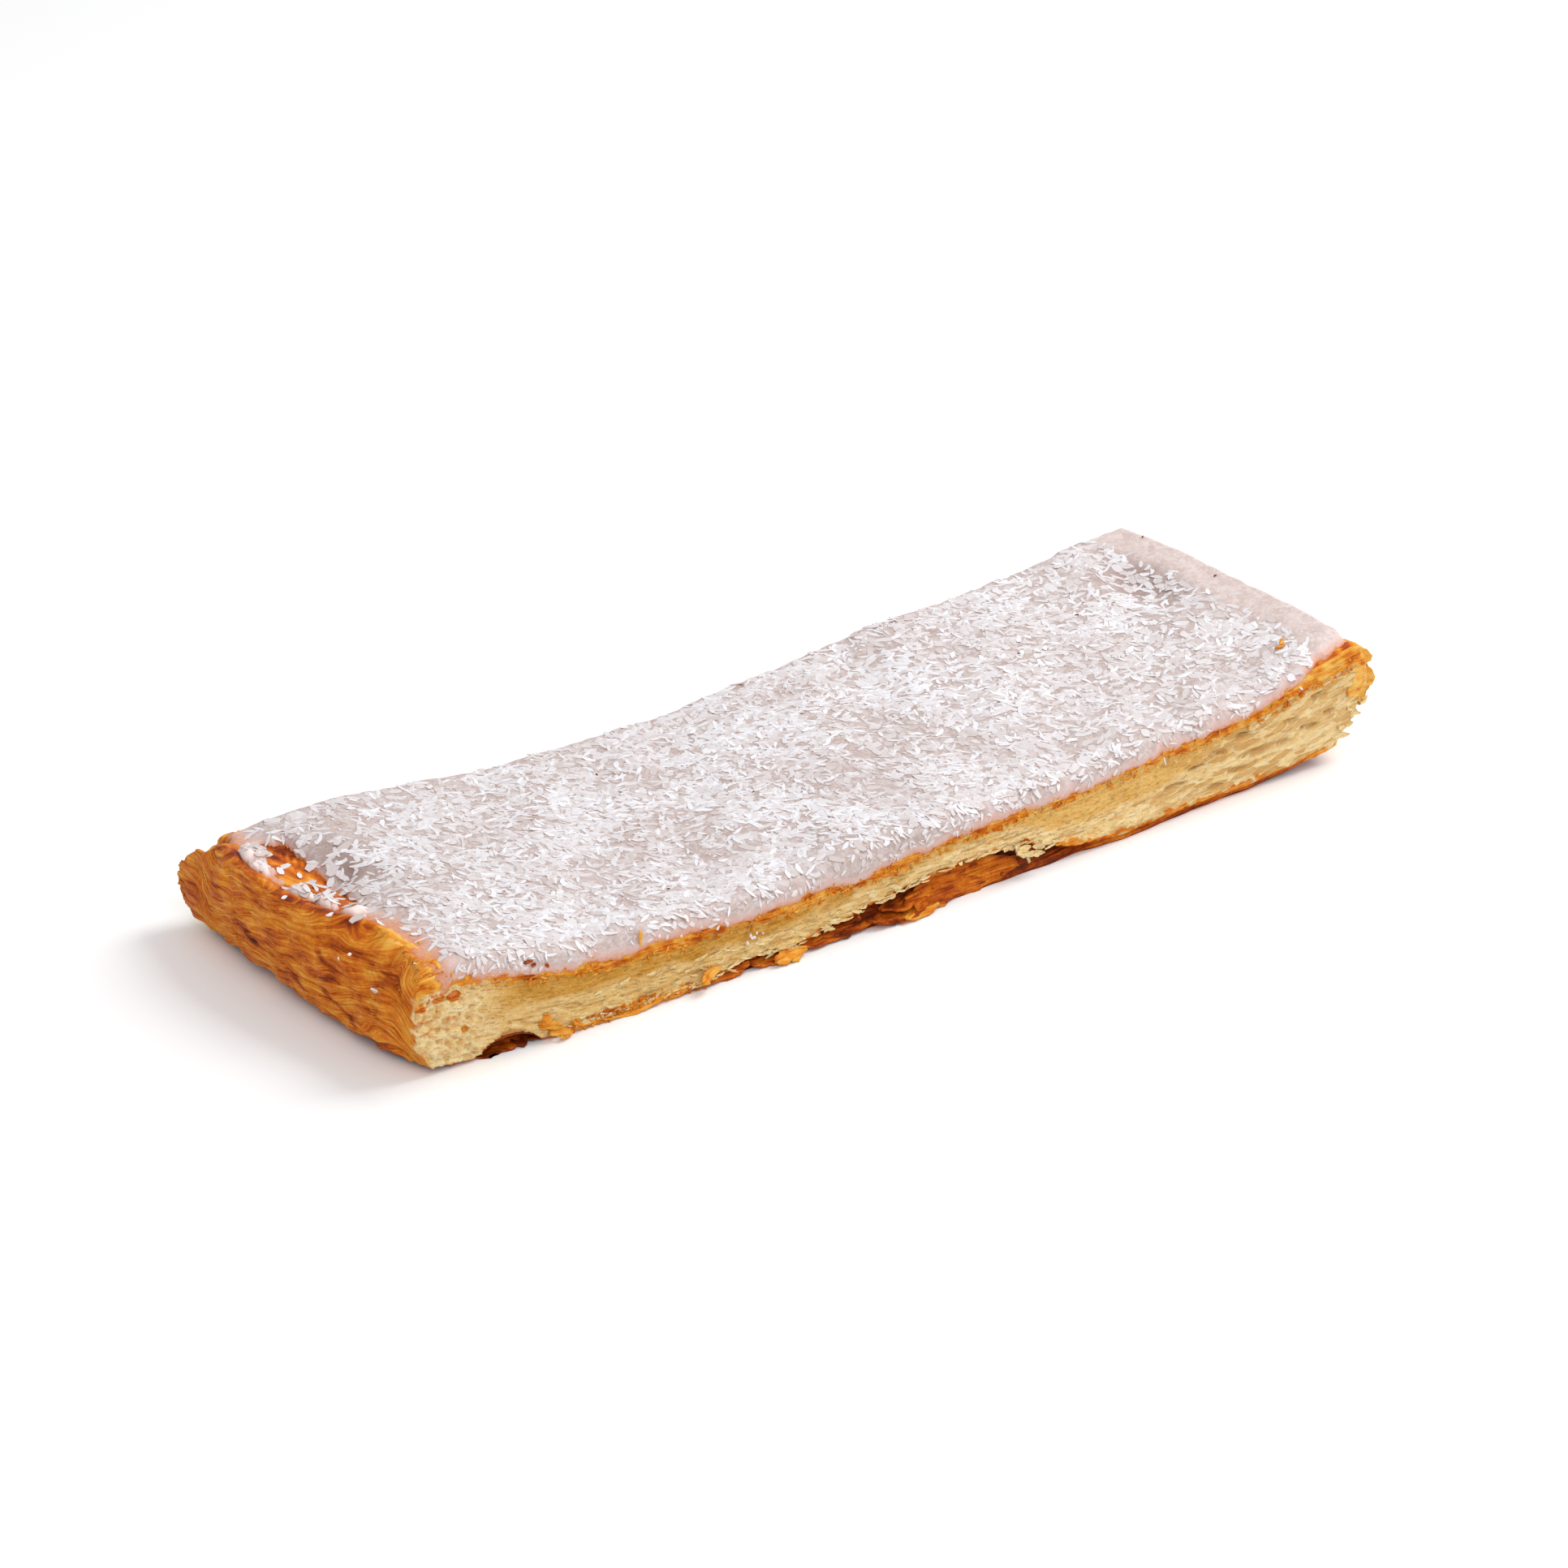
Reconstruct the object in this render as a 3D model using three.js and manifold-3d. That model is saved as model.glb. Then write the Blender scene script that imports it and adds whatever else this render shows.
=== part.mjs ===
// Danish pastry: a long bar cut from a baked sheet of laminated dough, thin sugar icing on top with
// grated coconut in it. Millimetres, +Z up, X along the bar, the cut face that shows towards -Y.

import * as THREE from "three";
import { mergeVertices } from "three/addons/utils/BufferGeometryUtils.js";
import Module from "manifold-3d";

const wasm = await Module();
wasm.setup();
const { clamp, degToRad, lerp, seededRandom } = THREE.MathUtils;

// Height of the crust along the two long cut edges, as [x, z] stations
const FRONT_EDGE = [
  [-103, 17.4], [-92, 17.8], [-76, 13.9], [-58, 12.3], [-40, 11.2], [-27, 11.8],
  [-12, 13.4], [30, 13.6], [73, 16.8], [98, 22],
];
const BACK_EDGE = [
  [-102, 17], [-78, 16.7], [-61, 15.2], [-44, 13.6], [-20, 12.9], [-9, 13.2],
  [8, 15], [26, 16.1], [37, 18], [64, 19], [75, 19.8], [84, 21.2], [98, 22.7],
];

// The long sides: y of each top edge, and how far the foot of the cut face spreads beyond it
const FRONT_Y = -33;
const BACK_Y = 31.5;
const FRONT_SPREAD = [[-90, 0.3], [-68, 2.2], [42, 2.2], [62, 0.6], [98, 0.2]];
const BACK_SPREAD = [[-102, 6.2], [-84, 2.8], [-50, 1.6], [60, 1.6], [98, 1]];

// Lower edge of the pale crumb on the front, as [x, z]; below it the browned underside steps back
const CRUMB_LIP = [
  [-76, 0.9], [-50, 0.9], [-40, 1.7], [-29, 2], [-12, 3.9], [4, 5.6], [20, 5.7], [30, 3.2], [38, 2],
  [62, 2], [80, 1.7], [92, 0.9],
];
const LIP_RECESS = 3;
const FOOT_TUCK = 0.9;
const CRUST = 1.2;

// Plan of the folded left end and of the cut-off right end, as [y, x]
const LEFT_BROW = [[-33, -102.3], [-16, -103.6], [-3, -104], [12, -104.2], [30, -101.5]];
const LEFT_FOOT = [[-33, -100.8], [-22, -103.1], [-3, -103.6], [10, -103], [32, -102]];
const LEFT_SHOULDER = [[-33, 1.4], [-25, 3.4], [-15, 4.6], [-6, 1.6], [4, 0.8], [30, 1]];
const RIGHT_BROW = [[-33, 101.2], [0, 102.2], [31, 101.6]];
const RIGHT_FOOT = 95;
const RIGHT_SHOULDER = 4.2;
const LEFT_BULGE = 0.7;
const RIGHT_BULGE = 1.8;
const FOOT_ROUND = 2.1;
const END_SHARES = [0, 0.07, 0.22, 0.4, 0.6, 0.78, 0.93, 1];

// Underside: flat in the middle, lifted at both ends
const LEFT_LIFT = 1;
const RIGHT_LIFT = 2.6;
const FLAT_FROM = -84;
const FLAT_TO = 70;

// Rim along the left end, as [y, height above the slope of the top]
const RIM = [[-33, 0.2], [-24, 1.6], [-15, 2], [-2, 1.4], [18, 1.3], [26, 0.9], [31, -2]];
const RIM_WIDTH = 3.6;

// Sunken places of the top: centre, half sizes, depth
const HOLLOWS = [
  { x: -92, y: 8, rx: 11, ry: 20, depth: 2.6 },
  { x: -89.5, y: 7.5, rx: 4, ry: 5, depth: 1.5 },
  { x: -98.6, y: 30.5, rx: 3, ry: 4, depth: 2 },
  { x: 86, y: 9, rx: 8, ry: 18, depth: 1.7 },
];

// Icing
const GAP = 0.3;
const SHEET_DEPTH = 5;
const ICING_THICK = 1.2;
const ICING_THIN_EDGE = 0.55;
const ICING_FRONT_Y = -32.2;
const ICING_BACK_Y = 30.9;
const ICING_RIGHT_X = 97.6;
const ICING_LEFT = [[-33, -97.6], [-21, -95.4], [-12, -96], [-4, -100], [16, -100.4], [24, -98], [31, -97]];

// Coconut shreds: the largest of them, one to each square of a grid
const SHRED_PITCH = 8;
const SHRED_LENGTH = [3, 4.6];
const SHRED_WIDTH = [1, 1.6];
const SHRED_HEIGHT = 1.2;
const SHRED_PROUD = 0.12;
const SHRED_FIELD = { left: -88, right: 91, front: -28, back: 28.5 };
const SEED = 7;

// Hollows torn or blown into the dough, as ellipsoids: centre, half sizes, angles in degrees
const CAVE = { x: -84.5, y: -33.5, z: -0.6, rx: 6.6, ry: 4.4, rz: 4.4, sides: 10, rings: 8 };
const TORN_CORNER = { x: 104, y: -36, z: 2.6, rx: 10.6, ry: 9, rz: 5.8, turn: 12, sides: 10, rings: 8 };
const BUBBLE = { x: -94.9, y: -33.6, z: 12.6, rx: 1.6, ry: 1.3, rz: 1.2, tip: 10 };

// Lens-shaped open cells of the crumb, most of them at the right of the cut face
const CELL_DEPTH = 2.2;
const CELLS = [
  { x: 67, z: 9.6, rx: 3.4, rz: 0.8 },
  { x: 75.5, z: 7.4, rx: 5.2, rz: 0.8 },
  { x: 81.6, z: 7.4, rx: 1.9, rz: 0.6 },
  { x: 65.6, z: 3.4, rx: 2, rz: 0.6 },
  { x: 83.2, z: 11, rx: 1.9, rz: 0.6 },
  { x: 89.8, z: 14.2, rx: 2.1, rz: 0.7 },
  { x: 56, z: 6.2, rx: 3, rz: 0.5 },
];

// Dough that stands out of the cut face: the hanging chunk and its foot, the torn flap, a loose bit
const CRAGS = [
  { x: -78, y: -34.6, z: 3.2, rx: 2.7, ry: 2.6, rz: 3, turn: 20 },
  { x: -76.8, y: -36.6, z: 1.5, rx: 1.9, ry: 2.2, rz: 1.4, turn: 30, sides: 6, rings: 4 },
  { x: 100.9, y: -31, z: 12.8, rx: 3, ry: 2.2, rz: 4.8, turn: -8 },
  { x: 21.2, y: -34.6, z: 4.6, rx: 3.4, ry: 1.5, rz: 1.6, tip: 20 },
];

// Flakes of browned crust that stand off under the front edge
const FLAKES = [
  { x: -46.6, y: -34.4, z: 1.9, length: 6, width: 2, thick: 0.7, curl: 0.5, turn: 24, tip: 70 },
  { x: -30.4, y: -34.8, z: 0.6, length: 6.5, width: 2.6, thick: 0.7, curl: 0.3, turn: 6, tip: 20 },
  { x: -20, y: -34.2, z: 0.5, length: 17, width: 3.4, thick: 0.8, curl: 0.6, turn: 0, tip: 12 },
  { x: -7, y: -34.4, z: 0.4, length: 14, width: 4.2, thick: 0.8, curl: 0.8, turn: 3, tip: 8 },
  { x: -62, y: -34.4, z: 0.4, length: 12, width: 2.8, thick: 0.8, curl: 0.5, turn: -2, tip: 10 },
];

// Wrinkled strands of layered dough on the left end, laid along it at these shares of its height
const STRAND_SHARES = [0.36, 0.66, 0.5, 0.78, 0.3, 0.6];
const STRAND = { rx: 1.1, ry: 7.5, rz: 1, tilt: 9, sunk: 0.6 };
const STRANDS_FROM_Y = -26;
const STRANDS_TO_Y = 24;

// Where the icing leaves the crust bare behind the rim, and the lumps of icing around that patch
const BARE_PATCH = { x: -94.8, y: 8.8, z: 16, rx: 3.5, ry: 14, rz: 5, turn: -13, sides: 14, rings: 6 };
const BARE_NOTCH = { x: -101, y: 8, z: 18, rx: 3, ry: 2.2, rz: 5, turn: 20 };
const ICING_LUMPS = [
  { x: -99.4, y: 18.4, z: 18.2, rx: 2.6, ry: 4.6, rz: 1.6, turn: -20 },
  { x: -99.8, y: 1.8, z: 18, rx: 1.4, ry: 3.4, rz: 1.3, turn: 15 },
  { x: -97.6, y: -5, z: 18.4, rx: 1.6, ry: 2.4, rz: 1.3, turn: 30 },
];

// Number of grid squares along, across and up
const DOUGH_GRID = [44, 14, 7];
const ICING_GRID = [38, 11, 1];

// A smooth line through the stations, flat beyond the first and the last
function smoothLine(stations) {
  const slope = (i) => {
    const a = stations[Math.max(i - 1, 0)];
    const b = stations[Math.min(i + 1, stations.length - 1)];
    return (b[1] - a[1]) / (b[0] - a[0]);
  };
  return (at) => {
    const s = clamp(at, stations[0][0], stations.at(-1)[0]);
    const i = clamp(stations.findIndex((p) => s <= p[0]) - 1, 0, stations.length - 2);
    const [x0, y0] = stations[i];
    const [x1, y1] = stations[i + 1];
    const h = x1 - x0;
    const t = (s - x0) / h;
    const rise = t * t * (3 - 2 * t);
    const bend = h * t * (1 - t) * ((1 - t) * slope(i) - t * slope(i + 1));
    return lerp(y0, y1, rise) + bend;
  };
}

const frontEdge = smoothLine(FRONT_EDGE);
const backEdge = smoothLine(BACK_EDGE);
const frontSpread = smoothLine(FRONT_SPREAD);
const backSpread = smoothLine(BACK_SPREAD);
const crumbLip = smoothLine(CRUMB_LIP);
const leftBrow = smoothLine(LEFT_BROW);
const leftFoot = smoothLine(LEFT_FOOT);
const leftShoulder = smoothLine(LEFT_SHOULDER);
const rightBrow = smoothLine(RIGHT_BROW);
const rimHeight = smoothLine(RIM);
const icingLeft = smoothLine(ICING_LEFT);

// 1 at the middle, 0 from one radius outwards
function bell(r) {
  return r < 1 ? 0.5 + 0.5 * Math.cos(Math.PI * r) : 0;
}

// 0 below from, 1 above to
function step(from, to, at) {
  const t = clamp((at - from) / (to - from), 0, 1);
  return t * t * (3 - 2 * t);
}

// Shallow unevenness of a hand-rolled, oven-baked top
function unevenness(x, y) {
  const broad = 0.22 * Math.sin(0.13 * x + 1.3) * Math.sin(0.15 * y + 0.4);
  return broad + 0.16 * Math.sin(0.31 * x - 0.2 * y);
}

// Height of the crust that the icing lies on
function topHeight(x, y) {
  const across = clamp((y - FRONT_Y) / (BACK_Y - FRONT_Y), 0, 1);
  const slope = lerp(frontEdge(x), backEdge(x), across);
  const crest = leftBrow(y) + leftShoulder(y) + 1;
  const rim = rimHeight(y) * bell(Math.abs(x - crest) / RIM_WIDTH);
  const sunk = HOLLOWS.map((h) => h.depth * bell(Math.hypot((x - h.x) / h.rx, (y - h.y) / h.ry)));
  return slope + rim - sunk.reduce((a, b) => a + b) + unevenness(x, y);
}

function underside(x) {
  return LEFT_LIFT * (1 - step(-104, FLAT_FROM, x)) + RIGHT_LIFT * step(FLAT_TO, 100, x);
}

// How far an end is rounded in at a share of its height
function rounding(share, shoulder) {
  const up = clamp((share - 0.55) / 0.45, 0, 1);
  const down = clamp((0.35 - share) / 0.35, 0, 1);
  return shoulder * (1 - Math.sqrt(1 - up ** 2.2)) + FOOT_ROUND * (1 - Math.sqrt(1 - down ** 3));
}

function leftEnd(y, share) {
  const bulge = LEFT_BULGE * Math.sin(Math.PI * share);
  return lerp(leftFoot(y), leftBrow(y), share) - bulge + rounding(share, leftShoulder(y));
}

function rightEnd(y, share) {
  const bulge = RIGHT_BULGE * Math.sin(Math.PI * share);
  return lerp(RIGHT_FOOT, rightBrow(y), share) + bulge - rounding(share, RIGHT_SHOULDER);
}

// The front cut face: each row's share of the height, with one row just under and one on the crumb lip
function frontShares(x) {
  const tall = frontEdge(x) - underside(x);
  const lip = clamp(crumbLip(x) / tall, 0.09, 0.6);
  const crust = 1 - CRUST / tall;
  return [0, 0.3 / tall, lip - 0.05, lip + 0.01, lerp(lip, 1, 0.33), lerp(lip, 1, 0.66), crust, 1];
}

function frontFace(x, row, share) {
  const recess = LIP_RECESS * step(0.9, 1.9, crumbLip(x));
  const inwards = [FOOT_TUCK, 0.4 * recess, recess][row] ?? 0;
  return FRONT_Y - frontSpread(x) * (1 - share) ** 1.5 + inwards;
}

function backFace(x, share) {
  return BACK_Y + backSpread(x) * Math.sin(Math.PI * clamp(1 - share, 0, 1) ** 1.1) ** 0.8;
}

// A closed box grid whose points are moved by place(u, v, row), u and v from 0 to 1
function mappedBox([along, across, up], place) {
  const box = new THREE.BoxGeometry(1, 1, 1, along, across, up);
  box.deleteAttribute("normal");
  box.deleteAttribute("uv");
  const at = box.getAttribute("position");
  for (let i = 0; i < at.count; i++) {
    const row = Math.round((at.getZ(i) + 0.5) * up);
    at.setXYZ(i, ...place(at.getX(i) + 0.5, at.getY(i) + 0.5, row));
  }
  return box;
}

// Grid lines lie closer together near both ends
function crowded(t, strength) {
  return t - (strength * Math.sin(2 * Math.PI * t)) / (2 * Math.PI);
}

function solidOf(geometry) {
  const bare = geometry.clone();
  bare.deleteAttribute("normal");
  bare.deleteAttribute("uv");
  const merged = mergeVertices(bare, 1e-4);
  return new wasm.Manifold(
    new wasm.Mesh({
      numProp: 3,
      vertProperties: merged.getAttribute("position").array,
      triVerts: new Uint32Array(merged.index.array),
    }),
  );
}

function meshOf(solid, name, material) {
  const { numProp, vertProperties, triVerts } = solid.getMesh();
  const geometry = new THREE.BufferGeometry();
  geometry.setAttribute("position", new THREE.BufferAttribute(vertProperties, numProp));
  geometry.setIndex(new THREE.BufferAttribute(triVerts, 1));
  geometry.computeVertexNormals();
  const mesh = new THREE.Mesh(geometry, material);
  mesh.name = name;
  return mesh;
}

// A rounded lump, tipped about X, leant about Y, then turned about Z
function lump({ x, y, z, rx, ry, rz, turn = 0, tip = 0, lean = 0, sides = 8, rings = 6 }) {
  const ball = new THREE.SphereGeometry(1, sides, rings);
  ball.scale(rx, ry, rz);
  ball.rotateX(degToRad(tip));
  ball.rotateY(degToRad(lean));
  ball.rotateZ(degToRad(turn));
  ball.translate(x, y, z);
  return solidOf(ball);
}

// A thin curled flake of crust: a strip bent along its length
function flake({ x, y, z, length, width, thick, curl, turn, tip }) {
  const strip = mappedBox([5, 1, 1], (u, v, row) => {
    const s = (u - 0.5) * length;
    const half = 0.5 * width * Math.sqrt(Math.max(1 - (2 * u - 1) ** 2, 0.08));
    return [s, lerp(-half, half, v), curl * (2 * u - 1) ** 2 + row * thick];
  });
  strip.rotateX(degToRad(tip));
  strip.rotateZ(degToRad(turn));
  strip.translate(x, y, z);
  return solidOf(strip);
}

// Strands lie end to end in rows that drift up and down along the left end
function makeStrands() {
  return STRAND_SHARES.map((share, i) => {
    const y = lerp(STRANDS_FROM_Y, STRANDS_TO_Y, i / (STRAND_SHARES.length - 1));
    const x = leftEnd(y, share) + STRAND.sunk;
    const z = lerp(underside(x), topHeight(x, y), share);
    const tip = i % 2 ? STRAND.tilt : -STRAND.tilt;
    const turn = (Math.atan2(leftEnd(y - 4, share) - leftEnd(y + 4, share), 8) * 180) / Math.PI;
    return lump({ x, y, z, rx: STRAND.rx, ry: STRAND.ry, rz: STRAND.rz, tip, turn, sides: 6, rings: 4 });
  });
}

function makeDough() {
  const grid = mappedBox(DOUGH_GRID, (u, v, row) => {
    const endShare = END_SHARES[row];
    const reach = crowded(v, 0.35);
    const middleY = lerp(FRONT_Y, BACK_Y, reach);
    const x = lerp(leftEnd(middleY, endShare), rightEnd(middleY, endShare), crowded(u, 0.45));
    const share = lerp(frontShares(x)[row], endShare, step(0, 0.16, v));
    const y = lerp(frontFace(x, row, share), backFace(x, share), reach);
    return [x, y, lerp(underside(x), topHeight(x, y), share)];
  });
  const cells = CELLS.map((cell) =>
    lump({ ...cell, y: FRONT_Y - 0.4 * frontSpread(cell.x), ry: CELL_DEPTH, rings: 4 }),
  );
  const hollows = [CAVE, TORN_CORNER, BUBBLE].map(lump).concat(cells);
  const additions = CRAGS.map(lump).concat(FLAKES.map(flake), makeStrands());
  const hollowed = hollows.reduce((whole, piece) => whole.subtract(piece), solidOf(grid));
  return additions.reduce((whole, piece) => whole.add(piece), hollowed);
}

// Icing thickness: thin where it runs out at the front edge and at the left, thickest along the right
function icingThickness(x, y) {
  const front = lerp(ICING_THIN_EDGE, 1, step(ICING_FRONT_Y, ICING_FRONT_Y + 6, y));
  const left = lerp(0.8, 1, step(-100, -84, x));
  const right = 1 + 0.1 * step(88, 94, x);
  return ICING_THICK * front * left * right;
}

function makeShreds() {
  const shreds = [];
  seededRandom(SEED);
  const draw = (low, high) => lerp(low, high, seededRandom());
  const { left, right, front, back } = SHRED_FIELD;
  for (let cellX = left; cellX < right; cellX += SHRED_PITCH) {
    for (let cellY = front; cellY < back; cellY += SHRED_PITCH) {
      const x = cellX + draw(0.15, 0.85) * SHRED_PITCH;
      const y = cellY + draw(0.15, 0.85) * SHRED_PITCH;
      const z = topHeight(x, y) + GAP + icingThickness(x, y) + SHRED_PROUD;
      shreds.push(
        lump({
          x, y, z,
          rx: draw(...SHRED_LENGTH) / 2,
          ry: draw(...SHRED_WIDTH) / 2,
          rz: SHRED_HEIGHT / 2,
          turn: draw(0, 180),
          lean: draw(-14, 14),
          sides: 4, rings: 2,
        }),
      );
    }
  }
  return shreds;
}

function makeIcing(dough) {
  const sheet = mappedBox(ICING_GRID, (u, v, row) => {
    const wave = 0.5 + 0.3 * Math.sin(u * 31) + 0.2 * Math.sin(u * 67 + 1);
    const y = lerp(ICING_FRONT_Y + wave, ICING_BACK_Y, crowded(v, 0.3));
    const x = lerp(icingLeft(y), ICING_RIGHT_X, crowded(u, 0.4));
    const top = topHeight(x, y) + GAP + icingThickness(x, y);
    return [x, y, row ? top : top - SHEET_DEPTH];
  });
  const poured = solidOf(sheet).subtract(lump(BARE_PATCH)).subtract(lump(BARE_NOTCH));
  const strewn = ICING_LUMPS.map(lump).concat(makeShreds()).reduce((whole, bit) => whole.add(bit), poured);
  const bodies = strewn.subtract(dough.translate([0, 0, GAP])).decompose();
  return bodies.reduce((largest, body) => (body.volume() > largest.volume() ? body : largest));
}

const doughMaterial = new THREE.MeshStandardMaterial({ color: 0xd79a45, roughness: 0.75, metalness: 0 });
const icingMaterial = new THREE.MeshStandardMaterial({ color: 0xe4dcdd, roughness: 0.4, metalness: 0 });

const dough = makeDough();
const pastry = new THREE.Group();
pastry.add(meshOf(dough, "pastry", doughMaterial));
pastry.add(meshOf(makeIcing(dough), "icing", icingMaterial));

export default pastry;
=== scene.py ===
# %% [markdown]
# # A danish pastry bar with icing and coconut
#
# The bar was cut from a baked sheet of laminated dough. It has a folded, browned end on the left,
# a pale cut face in front, a thin coat of sugar icing and grated coconut all over the top.
# Lengths below are millimetres, and every piece is scaled to metres at the very end.

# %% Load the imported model
import math

import bmesh
import bpy
import numpy as np
from mathutils import Euler, Matrix, Vector, noise


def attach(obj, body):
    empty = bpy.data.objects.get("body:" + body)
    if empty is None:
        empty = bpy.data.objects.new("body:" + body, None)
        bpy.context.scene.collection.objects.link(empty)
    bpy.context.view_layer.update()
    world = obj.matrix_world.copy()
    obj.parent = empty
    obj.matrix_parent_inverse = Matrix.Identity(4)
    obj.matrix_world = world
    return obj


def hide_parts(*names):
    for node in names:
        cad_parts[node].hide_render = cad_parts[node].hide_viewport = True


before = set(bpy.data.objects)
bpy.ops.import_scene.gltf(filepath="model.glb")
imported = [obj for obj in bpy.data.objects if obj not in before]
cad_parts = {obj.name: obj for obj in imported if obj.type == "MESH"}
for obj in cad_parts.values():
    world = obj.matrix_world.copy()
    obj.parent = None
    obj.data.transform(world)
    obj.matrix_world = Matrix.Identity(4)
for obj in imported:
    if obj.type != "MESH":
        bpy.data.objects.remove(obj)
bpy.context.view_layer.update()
MM = 0.001
NOISE_SLICE = 0.37
print("solids:", sorted(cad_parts))

# %% [markdown]
# ## The form of the bar
#
# A baked bar has no straight line in it. A sculpted mesh would be one way to make it, but then
# nobody could change it again. Here the crust's edges are smooth lines through a few measured
# stations, and every other point of the bar is worked out from those lines.

# %% Smooth lines and soft steps


def smooth_line(stations):
    """A smooth line through [at, value] stations, flat beyond the first and the last."""
    at, value = np.array(stations, float).T
    order = np.arange(len(at))
    before = np.maximum(order - 1, 0)
    after = np.minimum(order + 1, len(at) - 1)
    slope = (value[after] - value[before]) / (at[after] - at[before])

    def line(where):
        s = np.clip(where, at[0], at[-1])
        i = np.clip(np.searchsorted(at, s) - 1, 0, len(at) - 2)
        h = at[i + 1] - at[i]
        t = (s - at[i]) / h
        rise = t * t * (3 - 2 * t)
        bend = h * t * (1 - t) * ((1 - t) * slope[i] - t * slope[i + 1])
        return value[i] + (value[i + 1] - value[i]) * rise + bend

    return line


def mix(a, b, t):
    return a + (b - a) * t


def bell(r):
    """1 at the middle, 0 from one radius outwards."""
    return np.where(r < 1, 0.5 + 0.5 * np.cos(np.pi * np.minimum(r, 1)), 0)


def patch(x, y, cx, cy, rx, ry):
    """1 at the middle of an oval place, 0 from its border outwards."""
    return bell(np.hypot((x - cx) / rx, (y - cy) / ry))


def step(low, high, at):
    """0 below low, 1 above high, with a soft change between."""
    t = np.clip((at - low) / (high - low), 0, 1)
    return t * t * (3 - 2 * t)


def rough(scales, *coords, basis="PERLIN_ORIGINAL"):
    """Noise at many points at once; each coordinate is divided by its own grain size.

    Noise that runs in fewer than three directions is read on one slice.
    """
    columns = [np.asarray(c, float) / s for c, s in zip(coords, scales)]
    while len(columns) < 3:
        columns.append(np.full_like(columns[0], NOISE_SLICE))
    points = np.column_stack(columns)
    return np.array([noise.noise(Vector(p), noise_basis=basis) for p in points])


# %% Stations measured on the bar
FRONT_EDGE = [
    (-103, 17.4), (-92, 17.8), (-76, 13.9), (-58, 12.3), (-40, 11.2), (-27, 11.8),
    (-12, 13.4), (30, 13.6), (73, 16.8), (98, 22),
]
BACK_EDGE = [
    (-102, 17), (-78, 16.7), (-61, 15.2), (-44, 13.6), (-20, 12.9), (-9, 13.2), (8, 15),
    (26, 16.1), (37, 18), (64, 19), (75, 19.8), (84, 21.2), (98, 22.7),
]
# Height of the lip under which the cut face steps back
CRUMB_LIP = [
    (-76, 0.9), (-50, 0.9), (-40, 1.7), (-29, 2), (-12, 3.9), (4, 5.6), (20, 5.7), (30, 2.8), (38, 1.5),
    (62, 1.4), (80, 1.3), (92, 0.9),
]
FRONT_Y, BACK_Y = -33, 31.5
RIGHT_FOOT, RIGHT_SHOULDER = 95, 4.2
LEFT_BULGE, RIGHT_BULGE, FOOT_ROUND = 0.7, 1.8, 2.1
LIP_RECESS, FOOT_TUCK = 3.0, 0.9
RIM_WIDTH = 3.6
EDGE_ROUND = 1.5
LEFT_LIFT, RIGHT_LIFT = 1, 2.6

# How far the browned top crust reaches down the cut face
CRUST_BAND = [
    (-88, 3.9), (-75, 3.6), (-60, 3.9), (-50, 4.1), (-45, 3.3), (-35, 3.9), (-25, 4.0), (-15, 4.8), (-5, 4.9),
    (3, 4.2), (10, 3.6), (25, 3.0), (56, 3.0), (72, 3.2), (80, 3.4), (92, 3.8), (98, 4.2),
]

front_edge = smooth_line(FRONT_EDGE)
crust_band = smooth_line(CRUST_BAND)
back_edge = smooth_line(BACK_EDGE)
crumb_lip = smooth_line(CRUMB_LIP)
front_spread = smooth_line([(-90, 0.3), (-68, 2.2), (42, 2.2), (62, 0.6), (98, 0.2)])
back_spread = smooth_line([(-102, 6.2), (-84, 2.8), (-50, 1.6), (60, 1.6), (98, 1)])
left_brow = smooth_line([(-33, -102.3), (-16, -103.6), (-3, -104), (12, -104.2), (30, -101.5)])
left_foot = smooth_line([(-33, -100.8), (-22, -103.1), (-3, -103.6), (10, -103), (32, -102)])
left_shoulder = smooth_line([(-33, 1.4), (-25, 3.4), (-15, 4.6), (-6, 1.6), (4, 0.8), (30, 1)])
right_brow = smooth_line([(-33, 101.2), (0, 102.2), (31, 101.6)])
rim_height = smooth_line([(-33, 0.2), (-24, 1.6), (-15, 2), (-2, 1.4), (18, 1.3), (26, 0.9), (31, -2)])
icing_left = smooth_line(
    [(-33, -99.8), (-21, -97.6), (-12, -97.2), (-4, -100), (16, -100.4), (24, -98), (31, -97)]
)

# Sunken places of the top: x, y, half sizes, depth
HOLLOWS = [(-92, 8, 11, 20, 2.6), (-89.5, 7.5, 4, 5, 1.5), (-98.6, 30.5, 3, 4, 2), (86, 9, 8, 18, 1.7)]

# %% Height of the top and the underside


def top_height(x, y):
    across = np.clip((y - FRONT_Y) / (BACK_Y - FRONT_Y), 0, 1)
    slope = mix(front_edge(x), back_edge(x), across)
    crest = left_brow(y) + left_shoulder(y) + 1
    rim = rim_height(y) * bell(abs(x - crest) / RIM_WIDTH)
    sunk = sum(depth * patch(x, y, *oval) for *oval, depth in HOLLOWS)
    uneven = 0.22 * np.sin(0.13 * x + 1.3) * np.sin(0.15 * y + 0.4) + 0.16 * np.sin(0.31 * x - 0.2 * y)
    return slope + rim - sunk + uneven


def underside(x):
    """Both ends lift off the tray."""
    return LEFT_LIFT * (1 - step(-104, -84, x)) + RIGHT_LIFT * step(70, 100, x)


# %% Ends and long faces of the bar


def rounding(share, shoulder):
    up = np.clip((share - 0.55) / 0.45, 0, 1)
    down = np.clip((0.35 - share) / 0.35, 0, 1)
    return shoulder * (1 - np.sqrt(1 - up**2.2)) + FOOT_ROUND * (1 - np.sqrt(1 - down**3))


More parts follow.
